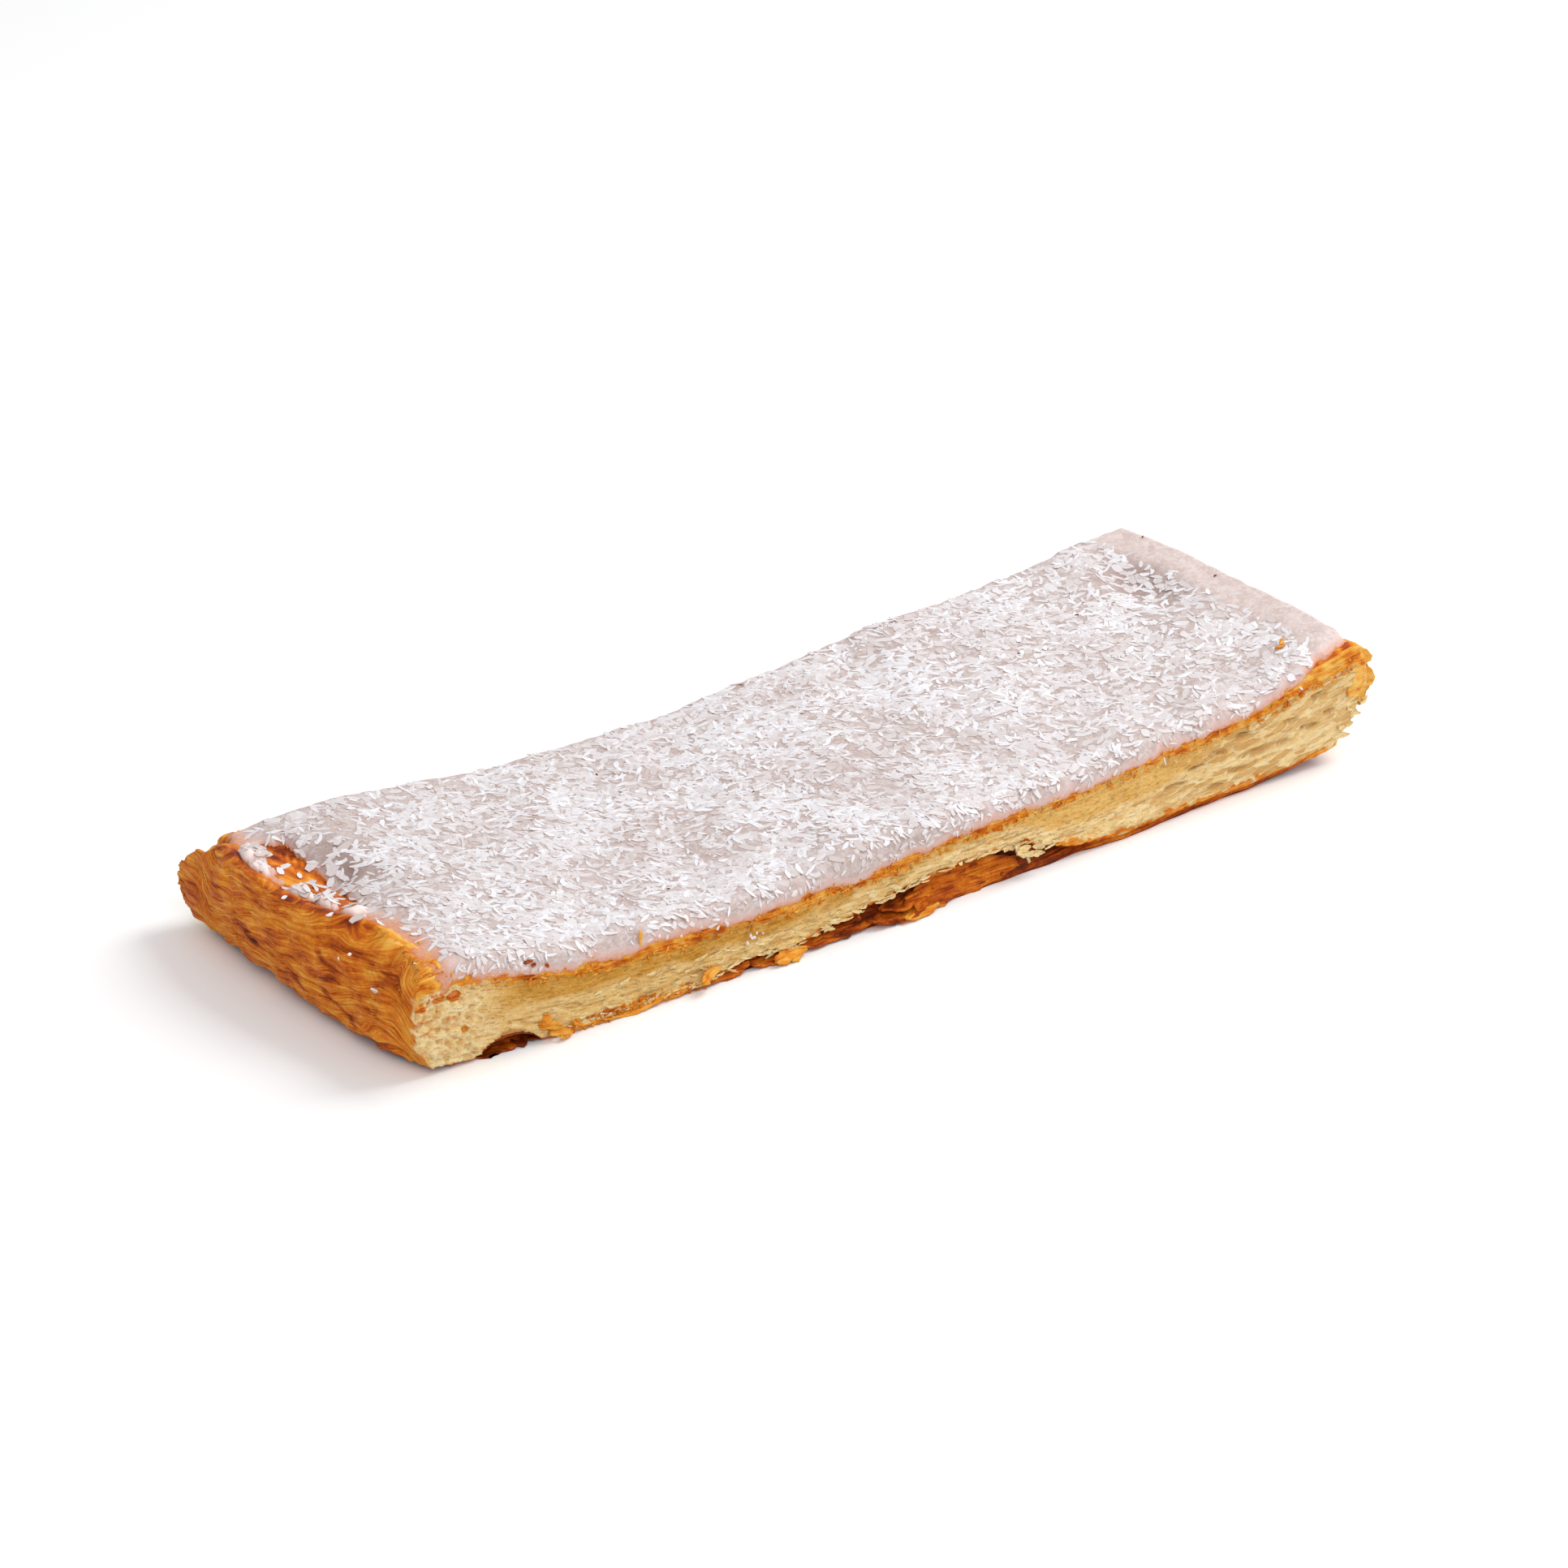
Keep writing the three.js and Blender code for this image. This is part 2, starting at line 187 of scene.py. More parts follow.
def left_end(y, share):
    bulge = LEFT_BULGE * np.sin(np.pi * share)
    return mix(left_foot(y), left_brow(y), share) - bulge + rounding(share, left_shoulder(y))


def right_end(y, share):
    bulge = RIGHT_BULGE * np.sin(np.pi * share)
    return mix(RIGHT_FOOT, right_brow(y), share) + bulge - rounding(share, RIGHT_SHOULDER)


def has_lip(x):
    """1 where the crumb hangs over as a lip, 0 where it reaches the foot."""
    return step(0.9, 1.9, crumb_lip(x))


def right_half(x):
    """0 left of the long lip, 1 where the open crumb of the right half begins."""
    return step(26, 36, x)


def lip_share(x):
    """Height of the frayed lip as a share of the bar's height."""
    frayed = 0.5 * rough((4, 1), x, 0 * x) + 0.35 * rough((1.3, 1), x, 0 * x)
    lip = crumb_lip(x) + frayed * step(0.9, 2, crumb_lip(x))
    return np.clip(lip / (front_edge(x) - underside(x)), mix(0.09, 0.04, right_half(x)), 0.6)


def front_face(x, share):
    """The cut face spreads towards its foot and steps back under the lip of the crumb."""
    lip = lip_share(x)
    deeper = mix(0.4, 0.55, right_half(x)) + 0.6 * step(0, lip, share)
    recess = LIP_RECESS * has_lip(x) * deeper
    under = recess * (1 - step(lip - 0.05, lip + 0.01, share))
    foot = FOOT_TUCK * (1 - step(0, 0.03, share))
    return FRONT_Y - front_spread(x) * (1 - share) ** 1.5 + np.maximum(under, foot)


def back_face(x, share):
    return BACK_Y + back_spread(x) * np.sin(np.pi * np.clip(1 - share, 0, 1) ** 1.1) ** 0.8


def crowded(t, strength):
    """Grid lines lie closer together near both ends."""
    return t - strength * np.sin(2 * np.pi * t) / (2 * np.pi)


def edge_drop(inwards):
    """How far the rounded long edges lie below the top, at a distance in from the cut."""
    gap = np.clip(EDGE_ROUND - inwards, 0, EDGE_ROUND)
    return EDGE_ROUND - np.sqrt(EDGE_ROUND**2 - gap**2)


print("height at the left, middle and right:", np.round(top_height(np.array([-95, 0, 90]), 0.0), 1))

# %% [markdown]
# ## The dough
#
# On the real bar the dough is one body: brown skin on the ends and the underside, pale open crumb
# where the knife went through. A cube cut into a grid gives a closed body whose six sides are known,
# so each side can have its own relief. The grid is refined only where the eye looks closely.

# %% A cube cut into a grid


def grid_box(counts):
    """A cube of size 1 with that many squares along x, y and z."""
    bm = bmesh.new()
    bmesh.ops.create_cube(bm, size=1)
    for axis, count in enumerate(counts):
        if count > 1:
            run = [e for e in bm.edges if abs((e.verts[0].co - e.verts[1].co)[axis]) > 1e-6]
            bmesh.ops.subdivide_edges(bm, edges=run, cuts=count - 1, use_grid_fill=True)
    return bm


def refine(bm, wanted, cuts):
    """Cuts the faces for which wanted(face) is true into smaller squares."""
    edges = {e for f in bm.faces if wanted(f) for e in f.edges}
    bmesh.ops.subdivide_edges(bm, edges=list(edges), cuts=cuts, use_grid_fill=True)


def mesh_of(bm, name):
    mesh = bpy.data.meshes.new(name)
    bm.to_mesh(mesh)
    bm.free()
    return mesh


def points_of(mesh):
    co = np.zeros(len(mesh.vertices) * 3)
    mesh.vertices.foreach_get("co", co)
    return co.reshape(-1, 3)


def set_points(mesh, points):
    mesh.vertices.foreach_set("co", np.asarray(points, np.float32).ravel())
    mesh.update()


def normals_of(mesh):
    found = np.zeros(len(mesh.vertices) * 3)
    mesh.vertex_normals.foreach_get("vector", found)
    return found.reshape(-1, 3)


def paint(mesh, **numbers):
    """Keeps one number for each point, or three, for the material to read under that name."""
    for name, values in numbers.items():
        values = np.asarray(values, np.float32)
        kind, field = ("FLOAT_VECTOR", "vector") if values.ndim == 2 else ("FLOAT", "value")
        attribute = mesh.attributes.new(name, kind, "POINT")
        attribute.data.foreach_set(field, values.ravel())


FACES_IT = 0.9
box = grid_box((210, 44, 14))
refine(box, lambda f: f.normal.y < -FACES_IT, 2)
refine(box, lambda f: f.normal.x < -FACES_IT, 2)
refine(box, lambda f: f.normal.x > FACES_IT or f.normal.y > FACES_IT, 1)
refine(box, lambda f: f.normal.z > FACES_IT and f.calc_center_median().x < -0.44, 2)
refine(box, lambda f: f.normal.z > FACES_IT and f.calc_center_median().y < -0.47, 1)
dough_mesh = mesh_of(box, "dough_bar")
print("dough grid:", len(dough_mesh.vertices), "points")

# %% Move the grid to the form of the bar
u, v, w = (points_of(dough_mesh) + 0.5).T
reach = crowded(v, 0.35)
middle_y = mix(FRONT_Y, BACK_Y, reach)
x = mix(left_end(middle_y, w), right_end(middle_y, w), crowded(u, 0.3))
y = mix(front_face(x, w), back_face(x, w), reach)
top = top_height(x, y)
z = mix(underside(x), top, w)
tall = top - underside(x)
from_top, from_foot = tall * (1 - w), tall * w
# The layers follow the bar's form, so their noise is read at a share of one usual height
USUAL_HEIGHT = 17
up = w * USUAL_HEIGHT

# The long top edges are rounded by moving points near them on to an arc
for from_edge, side in ((y - front_face(x, w), 1), (back_face(x, w) - y, -1)):
    a = np.clip(from_edge, 0, EDGE_ROUND)
    b = np.clip(top - z, 0, EDGE_ROUND)
    reach_a, reach_b = EDGE_ROUND - a, EDGE_ROUND - b
    shrink = EDGE_ROUND / np.maximum(np.hypot(reach_a, reach_b), EDGE_ROUND)
    y = y + side * reach_a * (1 - shrink)
    z = z - reach_b * (1 - shrink)

EPS = 1e-4
on_front, on_back = v < EPS, v > 1 - EPS
on_left, on_right = u < EPS, u > 1 - EPS
on_top, on_bottom = w > 1 - EPS, w < EPS
set_points(dough_mesh, np.column_stack([x, y, z]))

# %% [markdown]
# ## Crumb, layers and wrinkles
#
# Rolled dough and fat bake into thin sheets that lie along the bar. Where it is cut they show as
# fine lines, with long lens-shaped holes where the bar rose most, and as a dense smooth band where
# it hardly rose. The folded end isn't cut: its skin is drawn into wrinkled strands. A bump map can
# shade such things, but their edges would stay smooth, so the points themselves are moved.

# %% Where the crumb is open and where it is dense
ragged = rough((5, 1.4), x, up)
band_foot = np.maximum(mix(0.43, 0.97, step(44, 92, x)), lip_share(x) + 0.22)
dense = step(band_foot - 0.07, band_foot + 0.08, w + 0.07 * ragged) * step(-91, -84, x + 2 * ragged)
open_left = 1 - step(-93, -86, x)
clouds = rough((15, 4), x, up)
openness = step(42, 60, x) * mix(0.6, 1, step(-0.35, 0.15, clouds)) * step(0.04, 0.12, w)

# %% Relief of the cut faces, as a depth into the dough
warp = 0.7 * rough((16, 5), x, up) - 0.02 * x
sheets = rough((6, 0.62), x, up + warp)
fine = rough((1.3, 0.45), x, up)
grain = rough((0.8, 0.6), x, up)


def closed_cells(length, height, wall):
    """0 on the thin walls between closed cells of the crumb, 1 inside them."""
    borders = rough((length, height), x, up + warp, basis="VORONOI_F2F1")
    return np.clip((borders + 1) / wall, 0, 1)


long_cells = closed_cells(6.5, 1.2, 0.55)
small_cells = closed_cells(5.5, 0.8, 0.6)
round_cells = closed_cells(1.7, 1.3, 0.8)
slits = step(0.22, 0.42, rough((6, 0.55), x, up + warp))
layered = 0.16 * sheets + 0.12 * fine + 0.14 * small_cells + 0.22 * slits - 0.08
opened = openness * (0.6 * long_cells - 0.25)
porous = 0.3 * rough((2.6, 1.8), x, up) + 0.2 * fine + 0.5 * round_cells - 0.25
layers_and_cells = (1 - 0.7 * openness) * layered + 0.25 * opened
smooth_band = 0.1 * fine + 0.12 * grain
cut_depth = mix(mix(layers_and_cells, porous, open_left), smooth_band, dense)

# Lens-shaped cells that stand out at the right: x, z, half length, half height
CELLS = [
    (67, 9.6, 3.4, 0.65), (75.5, 7.4, 5.2, 0.7), (81.6, 7.4, 1.9, 0.5), (65.6, 3.4, 2, 0.5),
    (83.2, 11, 1.9, 0.5), (89.8, 14.2, 2.1, 0.6), (56, 6.2, 3, 0.4), (72, 11.4, 2.2, 0.4),
    (87.5, 8.8, 2.4, 0.45), (61, 8.2, 2.2, 0.35), (92.5, 10.5, 1.8, 0.45), (70.5, 5.2, 2.6, 0.4),
]
CELL_DEPTH = 1.0
cell_hole = np.zeros_like(x)
for cell_x, cell_z, half_long, half_tall in CELLS:
    inside = 1 - ((x - cell_x) / half_long) ** 2 - ((z - cell_z) / half_tall) ** 2
    cell_hole = np.maximum(cell_hole, np.sqrt(np.maximum(inside, 0)) * on_front)

# %% Relief of the skins, as a height out of the dough
drift = 1.5 * rough((12, 6), y, up) + 0.14 * y + 0.6 * rough((4, 2.5), y, up)
drift = drift * step(0, 6, y - FRONT_Y) * step(0, 6, BACK_Y - y)
strands = 1 - 2 * abs(rough((8, 1.25), y, up + drift))
threads = 1 - 2 * abs(rough((6, 0.55), y, up + drift))
folds = rough((7, 3.2), y, up)
crags = rough((2.6, 1.9), y, up)
left_height = 0.36 * strands + 0.26 * threads + 0.5 * folds + 0.4 * crags - 0.4
fibres = rough((1.1, 5), x + 0.35 * y, y)
crumbly = rough((1.5, 1.5), x, y) + 0.6 * rough((0.8, 0.8), x, y)
left_height = left_height * (0.25 + 0.75 * step(0, 3, y - FRONT_Y))
on_shoulder = step(-12, -20, y) * step(-86, -94, x)
top_relief = 0.2 * fibres + 0.12 * rough((2.5, 2.5), x, y) + 0.5 * crumbly * on_shoulder
right_height = 0.5 * rough((4, 2), y, up) + 0.3 * rough((1.6, 0.9), y, up)
bottom_relief = 0.1 * rough((6, 5), x, y)
lip = lip_share(x)
under_lip = on_front & (w < lip) & (crumb_lip(x) > 1.1)
on_cut = on_front | on_back

height = np.zeros_like(x)
for there, relief in (
    (on_right, right_height),
    (on_top, top_relief),
    (on_bottom, bottom_relief),
    (on_cut, -cut_depth - CELL_DEPTH * cell_hole),
    (under_lip, 0.3 * rough((5, 1.6), x, up)),
):
    height = np.where(there, relief, height)
above_border = 1 - step(crust_band(x) - 0.2, crust_band(x) + 0.8, from_top)
in_crust = on_front * above_border * step(0.3, 0.9, from_top)
height = height + in_crust * (0.4 * rough((1.5, 0.8), x, up) + 0.15)
height = np.where(on_left, left_height, height)

# %% Hollows that were torn or blown into the dough
# Middle, half sizes, turn about the upright and tip about the long axis in degrees
TORN = {
    "cave": ((-84.8, -33.5, -0.9), (5.9, 4.4, 3.7), 0, 0),
    "corner": ((104, -36, 2.6), (10.6, 9, 5.8), 12, 0),
    "bubble": ((-94.9, -33.6, 12.6), (1.3, 1.2, 1.1), 0, 10),
    "pinhole": ((-93, -33.4, 6.3), (0.6, 0.6, 0.5), 0, 0),
}
at = np.column_stack([x, y, z])
torn = {}
for hollow, (middle, half, turn, tip) in TORN.items():
    axes = np.array(Euler((math.radians(tip), 0, math.radians(turn))).to_matrix())
    inside = (at - middle) @ axes / half
    far = np.linalg.norm(inside, axis=1)
    torn[hollow] = far < 1.04
    out = inside / np.maximum(far, 0.05)[:, None] * half
    at = np.where((far < 1)[:, None], out @ axes.T + middle, at)
set_points(dough_mesh, at)
at = at + normals_of(dough_mesh) * height[:, None]
at[:, 2] = np.maximum(at[:, 2], 0)
set_points(dough_mesh, at)
print("relief of the dough:", np.round([height.min(), height.max()], 2), "mm")

# %% What is crumb and what is skin
skin = rough((2.4, 1.3), x, up) + 0.6 * rough((0.9, 0.6), x, up)
crust_line = crust_band(x) + 0.5 * rough((6, 1), x, 0 * x) + 0.7 * skin
is_crumb = step(crust_line - 0.3, crust_line + 0.4, from_top)
lip_up = lip * tall
frayed_foot = step(24, 34, x) + step(-79, -75, x) * (1 - step(-48, -40, x))
browned_foot = lip_up * has_lip(x) + 0.3 + 0.4 * skin + (0.9 + 0.9 * skin) * frayed_foot
is_crumb = is_crumb * step(-0.25, 0.35, from_foot - browned_foot)
left_skin = x - left_end(np.clip(y, FRONT_Y, BACK_Y), w)
is_crumb = is_crumb * step(-2.6, 1.6, left_skin + 2.0 * skin)
right_skin = right_end(np.clip(y, FRONT_Y, BACK_Y), w) - x
is_crumb = is_crumb * mix(1, step(0.2, 3.4, right_skin + 2.2 * skin), step(0.35, 0.5, w))
golden_corner = (1 - step(-91, -83, x + 0.6 * from_top)) * mix(0.6, 1, step(0.55, 0.8, w + 0.12 * skin))
is_crumb = is_crumb * (1 - 0.85 * golden_corner * step(-0.1, 0.5, skin)) * on_cut
torn_side = 0.8 * step(-31, -33.2, y + 1.3 * skin) * step(0.1, 0.25, w) * step(0.9, 0.7, w)
is_crumb = np.where(on_left, torn_side, is_crumb)
is_crumb = np.where(torn["corner"] & ~on_right, 0.8, is_crumb)
is_crumb = np.where(torn["cave"] | torn["bubble"] | torn["pinhole"], 0, is_crumb)

# %% How far each place is baked, 0 pale gold to 1 dark brown
cut_bake = 0.4 + 0.1 * step(1.2, 0.2, from_top) - 0.14 * step(58, 78, x) + 0.28 * skin
cut_bake = cut_bake - 0.16 * (1 - step(3, 14, left_skin))
cut_bake = np.where((from_foot < 4) & ((x > 24) | (x < -44)), 0.36 + 0.16 * skin, cut_bake)
cove = bell(abs(x - 7) / 13)
cut_bake = np.where(under_lip, 0.78 - 0.24 * cove - 0.26 * step(26, 40, x) + 0.14 * skin, cut_bake)
near_cut = step(-25, -32.5, y)
end_bake = 0.63 - 0.15 * np.maximum(strands, 0) - 0.13 * np.maximum(threads, 0) + 0.1 * folds
end_bake = np.maximum(end_bake - near_cut * (0.14 + 0.2 * crags) - 0.04 * step(0.86, 1, w), 0.38)
# Dark streaks of the folded end: y, z
STREAKS = [(-8.7, 12.8), (-1.9, 5.7), (12.4, 7.8), (-15.2, 4.4), (-11.4, 6.2)]
for streak_y, streak_z in STREAKS:
    along, across = y - streak_y, z - streak_z - 0.35 * (y - streak_y)
    end_bake = end_bake + 0.36 * bell(np.hypot(along / 3.2, across / 1.2))
bare_bake = 0.6 - 0.3 * fibres - 0.26 * on_shoulder - 0.1 * crumbly * on_shoulder
bake = np.where(on_cut, cut_bake, 0.5)
for there, here in (
    (on_left, end_bake),
    (on_right, 0.32 + 0.1 * folds),
    (on_bottom, 0.74),
    (on_top, bare_bake),
    # Inside the cave the dough is painted dark brown: partly baked skin, partly painted shade.
    (torn["cave"], 0.84),
    (torn["corner"], 0.24),
    (torn["bubble"], 0.54),
    (torn["pinhole"], 0.36),
):
    bake = np.where(there, here, bake)

# %% Keep what the material needs
# The next three lines paint shade into the sunk places of the cut (cells, slits, deep sheet lines) and into
# the strand valleys of the skins.
hollowed = mix(np.maximum(0.45 * small_cells, slits * (1 - 0.7 * openness)), 0.8 * round_cells, open_left)
cut_groove = np.clip(hollowed + 0.3 * step(0, 0.6, sheets), 0, 1) * (1 - dense)
groove = np.where(on_cut, np.maximum(cut_groove, cell_hole), step(0.3, -0.7, 0.6 * strands + 0.4 * threads))
warmth = np.clip(0.9 - 0.8 * step(-60, 40, x) + 0.35 * ragged, 0, 1) * step(-94, -78, x)
upwards = up + drift * (1 - step(0, 6, left_skin) * step(0, 6, right_skin))
paint(
    dough_mesh, is_crumb=is_crumb, bake=bake, dense=dense, groove=groove, warmth=warmth,
    open=openness * on_front, layers=np.column_stack([x, upwards, y]),
)

# %% Finish a piece


def finish_piece(mesh, name, material, stands_for=None, smooth=True):
    """Scales a mesh to metres, gives it its material and ties it to the bar."""
    mesh.transform(Matrix.Scale(MM, 4))
    mesh.polygons.foreach_set("use_smooth", np.full(len(mesh.polygons), smooth))
    mesh.materials.append(material)
    mesh.update()
    piece = bpy.data.objects.new(name, mesh)
    bpy.context.scene.collection.objects.link(piece)
    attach(piece, "root")
    if stands_for:
        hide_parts(stands_for)
    size = np.ptp(points_of(mesh), axis=0) / MM
    print(f"{name}: {len(mesh.polygons)} faces, {np.round(size, 1)} mm")


# %% [markdown]
# ## Materials from nodes
#
# A few helpers keep the node code readable: one adds a node and joins its inputs, one makes a
# ramp of colours. Colours are written as they look on a screen and turned into linear light.

# %% Node helpers


def tint(red, green, blue):
    """A screen colour, 0 to 255, as linear light."""
    parts = [c / 255 for c in (red, green, blue)]
    return tuple(c / 12.92 if c <= 0.04045 else ((c + 0.055) / 1.055) ** 2.4 for c in parts) + (1,)


def new_material(name):
    material = bpy.data.materials.new(name)
    material.use_nodes = True
    return material, material.node_tree, material.node_tree.nodes["Principled BSDF"]


def add(tree, kind, inputs=None, **settings):
    """A node with its settings; inputs are numbers, colours or other nodes' outputs."""
    node = tree.nodes.new("ShaderNode" + kind)
    for key, value in settings.items():
        setattr(node, key, value)
    for key, value in (inputs or {}).items():
        if isinstance(value, bpy.types.NodeSocket):
            tree.links.new(value, node.inputs[key])
        else:
            node.inputs[key].default_value = value
    return node


def ramp(tree, factor, stops):
    node = add(tree, "ValToRGB", {"Fac": factor})
    line = node.color_ramp.elements
    while len(line) < len(stops):
        line.new(0.5)
    for element, (at, colour) in zip(line, stops):
        element.position = at
        element.color = colour
    return node.outputs["Color"]


def number(tree, name):
    return add(tree, "Attribute", attribute_name=name).outputs["Fac"]


def maths(tree, operation, a, b, c=None):
    inputs = {0: a, 1: b}
    if c is not None:
        inputs[2] = c
    return add(tree, "Math", inputs, operation=operation).outputs[0]


def blend(tree, factor, a, b, kind="MIX"):
    return add(tree, "Mix", {0: factor, 6: a, 7: b}, data_type="RGBA", blend_type=kind).outputs[2]


def noise_node(tree, vector, scale, detail=3.0, roughness=0.55, distortion=0.0):
    inputs = {"Vector": vector, "Scale": scale, "Detail": detail, "Roughness": roughness}
    return add(tree, "TexNoise", {**inputs, "Distortion": distortion}).outputs["Fac"]


def stretched(tree, vector, scale):
    return add(tree, "Mapping", {"Vector": vector, "Scale": scale}).outputs["Vector"]


def in_millimetres(tree):
    place = add(tree, "TexCoord").outputs["Object"]
    return stretched(tree, place, (1000, 1000, 1000))


def soft_step(tree, value, low, high):
    inputs = {"Value": value, "From Min": low, "From Max": high}
    return add(tree, "MapRange", inputs, interpolation_type="SMOOTHSTEP").outputs["Result"]


def stirred(tree, base, noise_value, share):
    """A number made uneven by that share of a noise."""
    around_zero = maths(tree, "SUBTRACT", noise_value, 0.5)
    return maths(tree, "MULTIPLY_ADD", around_zero, share, base)


def share_of(tree, value, share):
    return maths(tree, "MULTIPLY", value, share)


def set_finish(tree, shader, finish, bump):
    """Sets the shader's constant values and joins the bump to it."""
    for socket, value in finish.items():
        shader.inputs[socket].default_value = value
    relief = add(tree, "Bump", bump)
    tree.links.new(relief.outputs["Normal"], shader.inputs["Normal"])


# %% [markdown]
# ## The finish of baked dough
#
# One material serves crumb and crust, because on the bar they run into each other. The number
# is_crumb says which of the two a point is, bake says how brown its skin is, and noise that is
# stretched along the layers breaks both up.

# %% Colours of the dough
CRUST_STOPS = [
    (0.0, tint(248, 208, 120)),
    (0.28, tint(240, 168, 58)),
    (0.44, tint(222, 126, 26)),
    (0.58, tint(196, 92, 12)),
    (0.74, tint(138, 52, 6)),
    (1.0, tint(50, 14, 2)),
]
PALE_STOPS = [(0.3, tint(246, 202, 124)), (0.48, tint(255, 228, 168)), (0.66, tint(255, 244, 206))]
TAN_STOPS = [(0.3, tint(220, 168, 84)), (0.5, tint(238, 192, 112)), (0.7, tint(250, 212, 140))]
WARM_STOPS = [(0.3, tint(178, 120, 34)), (0.5, tint(204, 146, 54)), (0.7, tint(226, 172, 80))]
GRAIN_STOPS = [(0.3, (0.82, 0.76, 0.64, 1)), (0.62, (1.08, 1.08, 1.1, 1))]
WARM_SHADE = (0.86, 0.78, 0.6, 1)
PINKISH_FAT = tint(230, 190, 150)
# Darker golds painted into the grooves, slits and cells of the crumb: painted shade.
SHADE_IN_GROOVES, SHADE_IN_SLITS, SHADE_IN_CELLS = tint(216, 160, 84), tint(166, 110, 40), tint(214, 158, 84)
GLOW_DEPTH = 0.001


# %% Brown of the crust


def along_layers(tree, layers, stretch, *settings):
    """Noise that is stretched along the layers."""
    return noise_node(tree, stretched(tree, layers, stretch), 1.0, *settings)


def crust_colour(tree, place, layers, threads, speckle):
    fine_threads = along_layers(tree, layers, (0.2, 6.0, 0.2), 3, 0.6, 0.4)
    broad = noise_node(tree, place, 0.22, 3, 0.6)
    brown = stirred(tree, number(tree, "bake"), threads, -1.0)
    brown = stirred(tree, brown, fine_threads, -0.5)
    brown = stirred(tree, brown, broad, 0.45)
    brown = stirred(tree, brown, speckle, 0.25)
    # Painted shade: the crust turns browner in its grooves.
    brown = maths(tree, "MULTIPLY_ADD", number(tree, "groove"), 0.07, brown)
    return ramp(tree, brown, CRUST_STOPS)


# %% Cream and gold of the crumb


def inside_cells(tree, layers):
    """1 inside the lens-shaped cells of the open crumb."""
    sway = maths(tree, "MULTIPLY_ADD", along_layers(tree, layers, (0.3, 0.9, 0.3), 2), 1.2, -0.6)
    sideways = add(tree, "CombineXYZ", {"X": sway, "Y": sway}).outputs[0]
    swayed = add(tree, "VectorMath", {0: layers, 1: sideways}, operation="ADD").outputs[0]
    space = {"Vector": stretched(tree, swayed, (0.17, 0.9, 0.17)), "Scale": 1.0}
    to_wall = add(tree, "TexVoronoi", space, feature="DISTANCE_TO_EDGE").outputs["Distance"]
    cell_tone = add(tree, "TexVoronoi", space).outputs["Color"]
    cell_open = maths(tree, "MULTIPLY", soft_step(tree, cell_tone, 0.3, 0.45), number(tree, "open"))
    return maths(tree, "MULTIPLY", soft_step(tree, to_wall, 0.06, 0.13), cell_open)


def crumb_colour(tree, place, layers, cell_here, slit_here):
    sheet_lines = along_layers(tree, layers, (0.3, 1.5, 0.3), 6, 0.75, 0.3)
    warm, cool = ramp(tree, sheet_lines, WARM_STOPS), ramp(tree, sheet_lines, TAN_STOPS)
    tan = blend(tree, number(tree, "warmth"), cool, warm)
    pinkish = soft_step(tree, noise_node(tree, place, 1.3, 3, 0.6), 0.6, 0.7)
    tan = blend(tree, share_of(tree, pinkish, 0.4), tan, PINKISH_FAT)
    pale = ramp(tree, sheet_lines, PALE_STOPS)
    pale = blend(tree, number(tree, "warmth"), pale, WARM_SHADE, "MULTIPLY")
    crumb = blend(tree, number(tree, "dense"), pale, tan)
    # Painted shade: the crumb turns darker gold in its grooves.
    crumb = blend(tree, share_of(tree, number(tree, "groove"), 0.75), crumb, SHADE_IN_GROOVES)
    grains = ramp(tree, noise_node(tree, place, 2.4, 5, 0.75), GRAIN_STOPS)
    closed = maths(tree, "SUBTRACT", 1, number(tree, "open"))
    crumb = blend(tree, maths(tree, "MULTIPLY_ADD", closed, 0.45, 0.35), crumb, grains, "MULTIPLY")
    # Painted shade: the slits of the closed crumb are darkened.
    slit_shade = maths(tree, "MULTIPLY", slit_here, share_of(tree, closed, 0.4))
    crumb = blend(tree, slit_shade, crumb, SHADE_IN_SLITS)
    # Painted shade: the cells of the open crumb are darker gold inside.
    return blend(tree, share_of(tree, cell_here, 0.8), crumb, SHADE_IN_CELLS)


# %% Dough material


